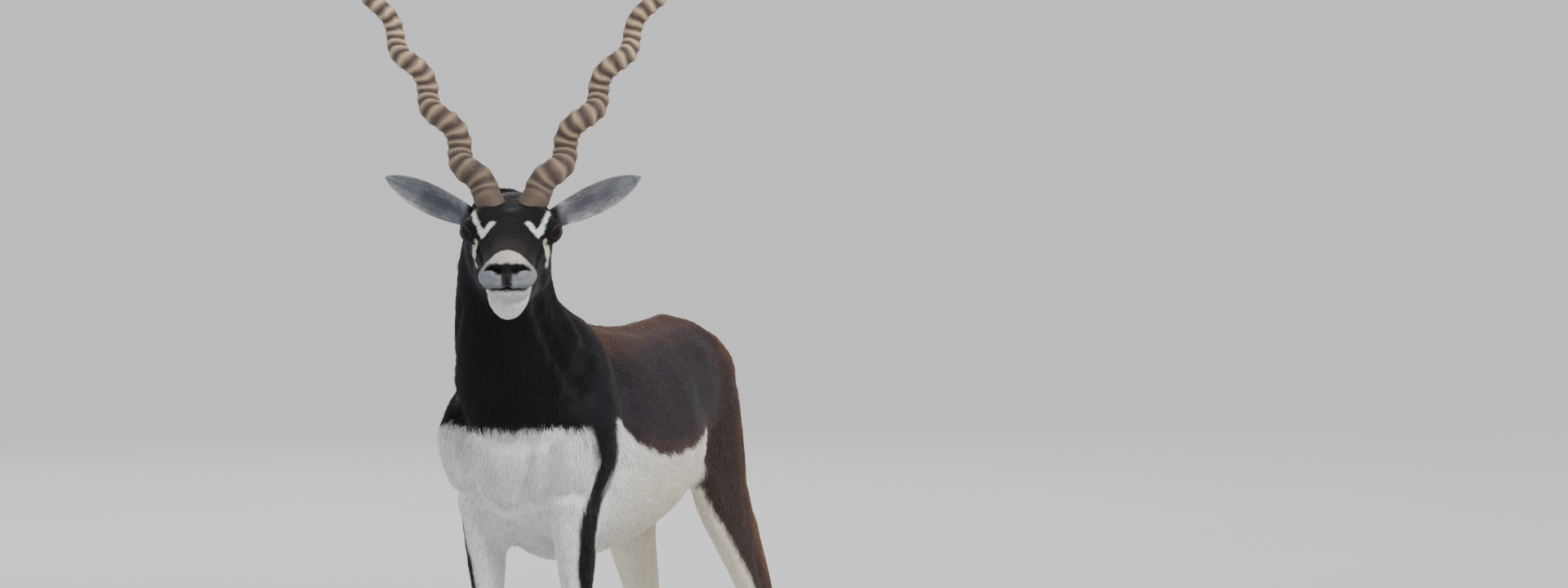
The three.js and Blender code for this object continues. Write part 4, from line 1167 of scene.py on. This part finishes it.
def hair_finish():
    """Coat hair: the markings, each tuft a shade of its own, darker at the root and paler at the tip."""
    m = Shading(
        "coat hair", Roughness=0.6, Specular_IOR_Level=0.18, Sheen_Weight=0.06, Sheen_Roughness=0.45,
    )
    shade = m.attribute("tuft_shade")
    root = m.attribute("along_hair")
    fine = m.noise(900, 2.0, 0.5, stretch=(1.0, 0.4, 0.25))
    base = m.times(m.attribute("coat_colour", "Color"), m.ramp(shade, [(0.0, 0.80), (1.0, 1.18)]))
    base = m.times(base, m.ramp(root, [(0.0, 0.84), (0.55, 1.0), (1.0, 1.06)]))
    base = m.times(base, m.ramp(fine, [(0.3, 0.90), (0.7, 1.09)]))
    m.bump(fine, 0.25, 0.0005)
    return m.finish(base, m.ramp(fine, [(0.3, 0.54), (0.7, 0.72)]))


def horn_finish():
    """Horn: tan on each ridge, partly wear and partly painted highlight, painted shade in each groove,
    grey-brown and dull at the foot, with long fibres and a smooth tip."""
    m = Shading("ringed horn", Roughness=0.55, Specular_IOR_Level=0.35)
    ridge, along = m.attribute("ridge"), m.attribute("along_horn")
    fibre = m.noise(70, 5.0, 0.65, stretch=(6.0, 3.0, 1.0))
    stain = m.noise(16, 4.0, 0.6, distortion=0.6)
    fleck = m.noise(260, 3.0, 0.6)
    # The ramp runs from the groove's colour to the crest's: partly wear, partly painted shade in the groove
    # and painted highlight on the crest
    wear_and_painted_light = m.math("ADD", ridge, m.math("MULTIPLY", m.math("SUBTRACT", fibre, 0.5), 1.1))
    groove, flank = (0.05, colour(104, 88, 77)), (0.40, colour(136, 116, 98))
    shoulder, crest = (0.70, colour(166, 143, 117)), (0.98, colour(206, 182, 148))
    base = m.ramp(m.math("MULTIPLY", m.math("ADD", wear_and_painted_light, 0.85), 0.5), [groove, flank, shoulder, crest])
    # A darker line along the bottom of each groove: painted shade
    painted_groove_shade = m.math("MULTIPLY", m.attribute("groove_line"), m.ramp(fibre, [(0.25, 0.45), (0.6, 1.0)]))
    base = m.mix(m.math("MULTIPLY", painted_groove_shade, 0.85), base, colour(50, 41, 37))
    foot = m.ramp(along, [(0.0, 1.0), (0.12, 0.8), (0.5, 0.0)])
    base = m.mix(foot, base, m.mix(0.7, base, colour(66, 56, 53)))
    tip = m.ramp(along, [(0.78, 0.0), (0.96, 1.0)])
    base = m.mix(tip, base, m.mix(stain, colour(134, 106, 82), colour(80, 63, 52)))
    base = m.mix(m.ramp(stain, [(0.45, 0.0), (0.75, 0.55)]), base, colour(62, 50, 44))
    base = m.mix(m.ramp(fleck, [(0.55, 0.0), (0.85, 0.26)]), base, colour(168, 148, 122))
    m.bump(m.math("ADD", fibre, m.math("MULTIPLY", fleck, 0.35)), 0.7, 0.0013)
    return m.finish(base, m.ramp(fibre, [(0.3, 0.46), (0.7, 0.68)]))


def hoof_finish():
    """Hoof: black horn with paler growth lines round it, scuffed paler in scattered patches."""
    m = Shading("hoof horn", Roughness=0.45, Specular_IOR_Level=0.4)
    lines = m.noise(70, 3.0, 0.5, stretch=(0.4, 0.4, 4.0))
    scuff = m.noise(90, 5.0, 0.65)
    base = m.mix(m.ramp(lines, [(0.4, 0.0), (0.7, 0.5)]), colour(24, 21, 22), colour(66, 58, 54))
    base = m.mix(m.ramp(scuff, [(0.55, 0.0), (0.75, 0.45)]), base, colour(104, 94, 84))
    m.bump(lines, 0.4, 0.0006)
    return m.finish(base, m.ramp(scuff, [(0.3, 0.36), (0.7, 0.62)]))


def eye_finish():
    """Eye: near-black brown round a long level pupil, wet and glossy."""
    m = Shading("wet dark eye", Roughness=0.06, Specular_IOR_Level=0.5, IOR=1.25)
    off, pupil = m.attribute("off_gaze"), m.attribute("pupil")
    streak = m.noise(700, 3.0)
    iris = m.mix(streak, colour(18, 10, 7), colour(34, 20, 12))
    base = m.mix(pupil, iris, colour(3, 3, 4))
    base = m.mix(m.ramp(off, [(0.21, 0.0), (0.27, 1.0)]), base, colour(8, 6, 6))
    return m.finish(base)


def wet_finish():
    """Bare dark skin of the lids, nose and lips: fine pebbling and a damp sheen."""
    m = Shading("bare dark skin", Roughness=0.45, Specular_IOR_Level=0.3)
    pebble = m.noise(1400, 2.0)
    base = m.mix(m.ramp(pebble, [(0.35, 0.0), (0.7, 1.0)]), colour(14, 12, 14), colour(36, 32, 34))
    m.bump(pebble, 0.4, 0.0004)
    return m.finish(base, m.ramp(pebble, [(0.3, 0.4), (0.7, 0.6)]))


def floor_finish():
    """Studio floor: pale grey paper with the faintest mottle."""
    m = Shading("pale studio floor", Roughness=0.9, Specular_IOR_Level=0.1)
    mottle = m.noise(2.0, 3.0)
    return m.finish(m.mix(mottle, colour(200, 201, 202), colour(205, 206, 207)))


# The coat
def lie_of(where, points):
    """The way the hair lies: back along the body, down the neck and legs, and back over the face."""
    _, y, z = where["body"].T
    count = len(points)
    lie = np.tile([0.0, 1.0, -0.45], (count, 1))
    lie[:, 2] -= 0.5 * step(60, 84, y)
    lie = blend(lie, np.array([0, 0.25, -1.0]), step(4, -12, y) * step(96, 86, z))
    station = np.clip(where["station"], 0, 5.9)
    path = read(NECK, station + 0.1)[:, :3] - read(NECK, np.maximum(station - 0.1, 0))[:, :3]
    lie = blend(
        lie, -unit(path) + [0, 0, -0.35], np.clip(where["neck"] + step(2, -8, y) * step(88, 96, z), 0, 1),
    )
    for leg in STRIDE:
        lie = blend(lie, np.array([0, 0.12, -1.0]), np.clip(where[leg], 0, 1))
    lie = blend(lie, np.array([0, 0.1, -1.0]), where["tail"])
    left, forward, up = where["in_head"].T
    low = -0.25 - 0.5 * step(-20, -34, up) - 1.6 * step(12, 0, forward)
    over = np.stack([0.25 * np.sign(left) * step(2, 12, np.abs(left)), np.ones(count), low], -1)
    lie = blend(lie, turned(over, HEAD_PITCH, HEAD_YAW), where["head"])
    return lie + 0.10 * np.stack(
        [wander(points, 0.06, 11), wander(points, 0.05, 12), wander(points, 0.07, 13)], -1,
    )


def hair_sizes(where):
    """Tufts at each place: length and width in metres, the sine of the angle off the skin, and how closely
    they crowd."""
    _, y, z = where["body"].T
    _, forward, up = where["in_head"].T
    legs = np.clip(sum(where[leg] for leg in STRIDE), 0, 1)
    neck, head, tail = where["neck"], where["head"], where["tail"]
    length = 12.5 + 5 * step(70, 60, z) + 3 * neck + 5 * step(70, 82, y) + 1.5 * step(-6, -14, y)
    length = between(length, 5.0 + 8 * step(40, 76, z), legs)
    face = 3.6 + 4.5 * step(45, 10, forward) + 3.0 * step(-33, -40, up) * step(80, 60, forward)
    length = between(between(length, face, head), 26, tail)
    width = between(between(0.92, 0.52 + 0.4 * step(40, 76, z), legs), 0.58, head)
    lift = (
        0.06 + 0.04 * step(70, 60, z) + 0.05 * tail
        + 0.03 * step(80, 84, z) * step(-6, -14, y) * step(90, 84, z)
    )
    lift = between(lift, 0.06, head) * (1 - 0.4 * legs * step(70, 45, z))
    poll = step(26, 14, forward) * step(-34, -16, forward) * step(-26, -12, up) * step(90, 100, z)
    length, lift = length * (1 - 0.62 * poll), lift * (1 - 0.8 * poll)
    crowd = between(1 + 0.4 * neck, 0.37 + 0.25 * step(50, 76, z), legs)
    crowd = between(crowd, 0.36 + 0.22 * step(40, 60, forward), head)
    return length * 0.001, width * 0.001, lift, crowd * (1 + 1.5 * tail)


def unwrap(where, label):
    """The skin laid flat, piece by piece: how far round a form a place is, and how far along it, each from
    0 to 1."""
    x, y, z = where["body"].T
    left, forward, up = where["in_head"].T
    if label in STRIDE:
        return np.stack([where[label + "_angle"] / 360 + 0.5, np.clip(z / 92, 0, 1)], -1)
    if label in ("head", "face", "ears"):
        across, over, along = left, up + 22, (forward + 15) / 125
    elif label == "neck":
        centre = read(NECK, where["station"])[:, :3]
        across, over, along = x - centre[:, 0], -(y - centre[:, 1]), (z - 78) / 48
    elif label == "tail":
        across, over, along = x, y - 84, (z - 60) / 35
    else:
        across, over, along = x, z - 80, (y + 20) / 108
    return np.stack([np.arctan2(across, over) / (2 * math.pi) + 0.5, np.clip(along, 0, 1)], -1)


def scattered(points, triangles, wanted, density, draw):
    """Random places on the triangles, as many to each as its area times density asks, with their
    triangle."""
    a, b, c = (points[triangles[:, k]] for k in range(3))
    area = np.linalg.norm(np.cross(b - a, c - a), axis=1) / 2 * density[triangles].mean(1)
    chosen = np.searchsorted(
        np.cumsum(area) / area.sum(), (np.arange(wanted) + draw.random(wanted)) / wanted,
    )
    chosen = np.clip(chosen, 0, len(triangles) - 1)
    u, v = draw.random(wanted), draw.random(wanted)
    over = u + v > 1
    u, v = np.where(over, 1 - u, u)[:, None], np.where(over, 1 - v, v)[:, None]
    return a[chosen] * (1 - u - v) + b[chosen] * u + c[chosen] * v, chosen, (u, v)


def tufts(roots, normals, lie, length, width, lift, curl):
    """Solid hairs: a three-cornered foot sunk in the skin, a narrower ring half way, bent towards the skin,
    and a point.

    The shading follows the skin's own direction, tipped outwards at both edges, so flat-lying hair reads
    as one soft coat.
    """
    side = unit(np.cross(normals, lie))
    count = len(roots)
    rise = lift[:, None]
    first = unit(lie + normals * rise * 1.6)
    second = unit(lie + normals * rise * 0.2 + side * curl[:, None])
    half, long = width[:, None] / 2, length[:, None]
    thick = normals * width[:, None] * 0.45
    foot = roots - normals * 0.0006
    knee = roots + first * long * 0.5
    tip = knee + second * long * 0.5
    across, narrow = side * half, side * half * 0.62
    ring, knee_ring = [foot - across, foot + across, foot + thick], [
        knee - narrow, knee + narrow, knee + thick * 0.8,
    ]
    made = np.stack([*ring, *knee_ring, tip], axis=1)
    walls = [[0, 1, 4], [0, 4, 3], [1, 2, 5], [1, 5, 4], [2, 0, 3], [2, 3, 5]]
    corners = np.array([*walls, [3, 4, 6], [4, 5, 6], [5, 3, 6], [0, 2, 1]])
    triangles = (np.arange(count)[:, None, None] * 7 + corners[None]).reshape(-1, 3)
    left, right, over = normals - side * 0.5, normals + side * 0.5, normals
    facing = unit(np.stack([left, right, over, left, right, over, normals + first * 0.2], axis=1))
    return made.reshape(-1, 3), triangles, facing.reshape(-1, 3)


def paint(thing, name, values):
    """Stores one number or one colour at every point of a piece."""
    values = np.asarray(values, np.float32)
    if values.ndim == 1:
        thing.data.attributes.new(name, "FLOAT", "POINT").data.foreach_set("value", values)
    else:
        shades = np.concatenate([values, np.ones((len(values), 1), np.float32)], 1)
        thing.data.attributes.new(name, "FLOAT_COLOR", "POINT").data.foreach_set("color", shades.ravel())


def dress(thing, material, slot_name, *stands_for):
    """Gives a piece its finish, lets it ride with the animal and hides the solids it stands for."""
    thing.data.materials.append(material)
    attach(thing, "root")
    if stands_for:
        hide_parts(*stands_for)
    return thing


def blackened(tint, openings):
    """The nostrils and the parting of the lips, black to about two hundredths and one hundredth from their
    lines."""
    dark = np.maximum(step(2.2, 1.5, openings[:, 0]), step(1.3, 0.7, openings[:, 1]))
    return blend(tint, NOSE_BLACK, dark)


def ear_colour(points, leaf):
    """The ear: blue-grey inside, its hollow darkened with painted shade, a pale rim, and brown-black
    behind. Leaf is share, across, inside."""
    share, across, inside = leaf.T
    mottle = 0.10 * wander(points, 0.02, 21)
    # The hollow is painted darker: painted shade inside the cup
    hollow = step(0.85, 0.20, across + mottle) * step(0.0, 0.2, share) * step(0.95, 0.45, share + mottle)
    tint = blend(EAR_BLUE, EAR_HOLLOW_SHADE, 0.7 * hollow)
    streak = (
        0.5 + 0.5 * np.sin(44 * across + 5 * wander(points, 0.03, 22))
    ) ** 2 * step(0.15, 0.45, across)
    tint = blend(tint, EAR_RIM, 0.45 * streak * step(0.1, 0.3, share))
    tint = blend(tint, EAR_RIM, 0.9 * step(0.80, 0.93, across + mottle) * step(0.08, 0.2, share))
    behind = blend(SOFT_BLACK, EAR_BACK, step(0.2, 0.8, share + mottle))
    behind = blend(behind, EAR_RIM, 0.9 * step(0.60, 0.74, across))
    tint = blend(behind, tint, step(0.3, 0.7, inside))
    return blend(tint, SOFT_BLACK, step(0.24, 0.08, share + 0.5 * mottle))


FLESH = ["torso", "neck", "head", "tail", "ear_left", "ear_right"]
for leg in STRIDE:
    FLESH += [
        f"{leg}_{part}" for part in ("pastern", "cannon", "forearm" if leg.startswith("fore") else "gaskin")
    ]
hide, hair = skin_finish(), hair_finish()
horn_look, hoof_look = horn_finish(), hoof_finish()
eye_look, bare = eye_finish(), wet_finish()

skin_points, skin_triangles, from_openings = skin_surface()
body_count = len(skin_points)
ears = [ear_surface(side) for side in (1, -1)]
ear_shapes = [(points, triangles) for points, triangles, _ in ears]
skin_points, skin_triangles = together([(skin_points, skin_triangles), *ear_shapes])
where_skin = places(skin_points)
is_ear = np.arange(len(skin_points)) >= body_count
leaf_places = np.concatenate([np.zeros((body_count, 3)), ears[0][2], ears[1][2]])
skin_normals = normals_of(skin_points, skin_triangles)
from_openings = np.concatenate([from_openings, np.full((len(skin_points) - body_count, 2), FAR)])
skin_colour = blackened(coat_colour(skin_points, where_skin), from_openings)
skin_colour[is_ear] = ear_colour(skin_points[is_ear], leaf_places[is_ear])
skin = make("skin", skin_points - MIDDLE, skin_triangles)
paint(skin, "coat_colour", skin_colour)
dress(skin, hide, "dark_coat", *FLESH)


def coat_sizes():
    """At each point of the skin the tufts' length and width in metres, their lift, and how densely they
    grow."""
    length, width, lift, crowd = hair_sizes(where_skin)
    share, across, inside = leaf_places.T
    inner_hair = step(0.3, 0.5, across) * step(0.9, 0.75, across) * inside
    inner_hair = inner_hair * step(0.12, 0.25, share) * step(0.9, 0.7, share)
    off_rim = step(0.90, 0.78, across) * inside + step(0.72, 0.58, across) * (1 - inside)
    length = np.where(is_ear, 0.0036 + 0.006 * inner_hair, length)
    width = np.where(is_ear, 0.0006, width)
    lift = np.where(is_ear, 0.03 + 0.05 * inner_hair, lift)
    crowd = np.where(is_ear, 0.5 * off_rim * step(0.97, 0.90, share), crowd)
    bare_skin = np.maximum(step(2.3, 1.8, from_openings[:, 0]), step(1.4, 0.9, from_openings[:, 1]))
    from_eye = np.linalg.norm(folded_head(where_skin) - np.array(EYE_AT), axis=1)
    bare_skin = np.maximum(bare_skin, step(7.1, 6.6, from_eye))
    return length, width, lift, (1 - bare_skin) * crowd / (length * width) ** 0.9


def region_names(where, on_ear):
    """The region that each tuft belongs to, by where it grows."""
    x, y, _ = where["body"].T
    halves = np.where(x > 0, "left_", "right_").astype(object)
    labels = np.where(y < 29, halves + "ribs", halves + "flank")
    labels[y > 56] = (halves + "haunch")[y > 56]
    labels[y < 4] = (halves + "shoulder")[y < 4]
    for leg in STRIDE:
        labels[where[leg] > 0.5] = leg
    labels[where["neck"] > 0.4] = "neck"
    labels[where["tail"] > 0.5] = "tail"
    labels[where["head"] > 0.5] = "head"
    labels[(where["head"] > 0.5) & (where["in_head"][:, 1] > 50)] = "face"
    labels[on_ear] = "ears"
    return labels


# Each of a tuft's seven points: where it lies on the flat layout, and how far along the hair it is
TUFT_LAYOUT = np.array([[-1, -1], [1, -1], [0, -1], [-1, 0], [1, 0], [0, 0], [0, 1]]) * 0.0015
TUFT_ALONG = [0, 0, 0, 0.55, 0.55, 0.55, 1.0]


def coat_piece(label, shape, tint, shade, where):
    """One region's tufts as a piece, each tuft of one colour and shade."""
    points, triangles, facing = shape
    points[:, 2] = np.maximum(points[:, 2], 0.002)
    piece = make("coat_" + label, points - MIDDLE, triangles)
    piece.data.normals_split_custom_set_from_vertices(facing)
    paint(piece, "coat_colour", np.repeat(tint, 7, axis=0))
    paint(piece, "tuft_shade", np.repeat(shade, 7))
    paint(piece, "along_hair", np.tile(TUFT_ALONG, len(shade)))
    layout = np.clip(
        unwrap(where, label)[:, None] + TUFT_LAYOUT[None], 0, 1,
    ).reshape(-1, 2)[triangles.ravel()]
    piece.data.uv_layers.new(name="OFBake").data.foreach_set("uv", layout.astype(np.float32).ravel())
    dress(piece, hair, "dark_coat")


def grow_coat():
    """Scatters tufts over the skin and makes one piece of each region's tufts."""
    draw = np.random.default_rng(7)
    length, width, lift, density = coat_sizes()
    roots, chosen, (u, v) = scattered(skin_points, skin_triangles, TUFT_COUNT, density, draw)
    first, second, third = skin_triangles[chosen].T

    def carry(values):
        """Values of the skin's points brought to the roots by their shares of the three corners."""
        rows = np.asarray(values, float).reshape(len(values), -1)
        return np.squeeze(rows[first] * (1 - u - v) + rows[second] * u + rows[third] * v)

    where = places(roots)
    normals = unit(carry(skin_normals))
    on_ear = is_ear[first]
    ear_lie = np.tile(EAR_ALONG, (len(roots), 1))
    ear_lie[:, 0] *= np.sign(where["in_head"][:, 0])
    lie = np.where(on_ear[:, None], turned(ear_lie, HEAD_PITCH, HEAD_YAW), lie_of(where, roots))
    lie = unit(lie - normals * np.einsum("ij,ij->i", lie, normals)[:, None])
    long = carry(length) * draw.uniform(0.75, 1.25, TUFT_COUNT)
    wide = carry(width) * draw.uniform(0.8, 1.2, TUFT_COUNT) / math.sqrt(COAT_SHARE)
    lifts = carry(lift) * draw.uniform(0.5, 1.6, TUFT_COUNT)
    shade = np.clip(0.5 + 0.22 * draw.normal(size=TUFT_COUNT) + 0.16 * wander(roots, 0.03, 31), 0, 1)
    tint = blackened(coat_colour(roots, where, 1.3), carry(from_openings))
    tint[on_ear] = ear_colour(roots[on_ear], carry(leaf_places)[on_ear])
    labels = region_names(where, on_ear)
    for label in sorted(set(labels)):
        these = np.flatnonzero(labels == label)
        curl = 0.12 * draw.normal(size=len(these))
        shape = tufts(*(values[these] for values in (roots, normals, lie, long, wide, lifts)), curl)
        coat_piece(
            label, shape, tint[these], shade[these], {key: values[these] for key, values in where.items()},
        )


grow_coat()

# Horns, eyes, lids and hooves
for side_name, side in SIDES.items():
    for surface, name, finish, kind in (
        (horn_surface, "horn_ringed", horn_look, "horn"), (eye_surface, "eyeball", eye_look, "eye"),
    ):
        points, triangles, marks = surface(side)
        piece = make(f"{name}_{side_name}", points - MIDDLE, triangles)
        for mark, values in marks.items():
            paint(piece, mark, values)
        dress(piece, finish, kind, f"{kind}_{side_name}")
    points, triangles = lid_surface(side)
    dress(make(f"lids_{side_name}", points - MIDDLE, triangles), bare, "dark_coat")

for leg in STRIDE:
    for toe in TOES:
        for surface, name, node in ((hoof_surface, "toe", "hoof"), (dewclaw_surface, "spur", "dewclaw")):
            points, triangles = surface(leg, toe)
            dress(
                make(f"{leg}_{name}_{toe}", points - MIDDLE, triangles), hoof_look, "hoof",
                f"{leg}_{node}_{toe}",
            )

# Floor, light and camera
FLOOR_DROP = 0.0002  # below the hooves
FLOOR_ROUNDS, FLOOR_SPOKES = (0.2, 1.0, 3.0, 10.0, 60.0), 64
rounds, spokes = np.array(FLOOR_ROUNDS)[:, None], circle(FLOOR_SPOKES)[None, :]
disc = np.stack([rounds * np.cos(spokes), rounds * np.sin(spokes), 0 * rounds * spokes - FLOOR_DROP], -1)
index = np.arange((len(FLOOR_ROUNDS) - 1) * FLOOR_SPOKES).reshape(-1, FLOOR_SPOKES)
around = np.roll(index, -1, axis=1)
middle_fan = np.stack([np.full(FLOOR_SPOKES, len(FLOOR_ROUNDS) * FLOOR_SPOKES), index[0], around[0]], -1)
floor_points = np.concatenate([disc.reshape(-1, 3), [[0, 0, -FLOOR_DROP]]])
floor_walls = squares(index, index + FLOOR_SPOKES, around + FLOOR_SPOKES, around)
floor = make("floor", floor_points, np.concatenate([floor_walls, middle_fan]))
floor.data.materials.append(floor_finish())

ROOM_COLOUR, ROOM_STRENGTH = (0.96, 0.97, 1.0, 1.0), 0.8
world = bpy.data.worlds.new("soft room")
bpy.context.scene.world = world
world.use_nodes = True
world.node_tree.nodes["Background"].inputs["Color"].default_value = ROOM_COLOUR
world.node_tree.nodes["Background"].inputs["Strength"].default_value = ROOM_STRENGTH


def lamp(name, at, towards, size, power, tint):
    """A square soft light that the camera doesn't see."""
    data = bpy.data.lights.new(name, "AREA")
    data.shape, data.size, data.energy, data.color = "SQUARE", size, power, tint
    light = bpy.data.objects.new(name, data)
    bpy.context.scene.collection.objects.link(light)
    way = unit(np.array(towards, float) - np.array(at, float))
    light.location = at
    light.rotation_mode = "QUATERNION"
    light.rotation_quaternion = Vector(tuple(way)).to_track_quat("-Z", "Y")
    light.visible_camera = False


SUN_STRENGTH, SUN_SPREAD, SUN_COLOUR = 2.6, math.radians(16), (1.0, 0.955, 0.89)
SUN_TILT, SUN_TURN = math.radians(50), math.radians(66)
sun = bpy.data.lights.new("key light", "SUN")
sun.energy, sun.angle, sun.color = SUN_STRENGTH, SUN_SPREAD, SUN_COLOUR
key = bpy.data.objects.new("key light", sun)
bpy.context.scene.collection.objects.link(key)
key.rotation_euler = (SUN_TILT, 0.0, SUN_TURN)
lamp("fill light", (-4.0, -3.8, 2.2), (0, 0, 0.7), 3.0, 40, (0.86, 0.92, 1.0))
lamp("back light", (-2.5, 4.5, 3.4), (0, 0, 0.8), 2.4, 90, (1.0, 0.98, 0.95))

# The camera, fitted to the photo. Pixels are counted from the frame's top left corner.
FRAME_WIDTH, FRAME_HEIGHT, FOCAL_PIXELS = 1920, 720, 5820
WITHERS_COLUMN, HORIZON_ROW = 659.5, 16
CAMERA_AZIMUTH, CAMERA_FAR, CAMERA_HIGH = math.radians(20), 5.804, 1.1124
SENSOR_WIDTH = 36.0
turn_right = math.atan((FRAME_WIDTH / 2 - WITHERS_COLUMN) / FOCAL_PIXELS)
tip_down = math.atan((FRAME_HEIGHT / 2 - HORIZON_ROW) / FOCAL_PIXELS)
camera_data = bpy.data.cameras.new("camera")
camera_data.sensor_width, camera_data.lens = SENSOR_WIDTH, SENSOR_WIDTH * FOCAL_PIXELS / FRAME_WIDTH
camera_data.clip_start, camera_data.clip_end = 0.1, 200
camera = bpy.data.objects.new("camera", camera_data)
bpy.context.scene.collection.objects.link(camera)
bpy.context.scene.camera = camera
out, ahead = math.sin(CAMERA_AZIMUTH) * CAMERA_FAR, math.cos(CAMERA_AZIMUTH) * CAMERA_FAR
camera.location = np.array([out, -ahead, CAMERA_HIGH]) - MIDDLE
camera.rotation_euler = (math.pi / 2 - tip_down, 0.0, CAMERA_AZIMUTH - turn_right)

bpy.context.view_layer.update()
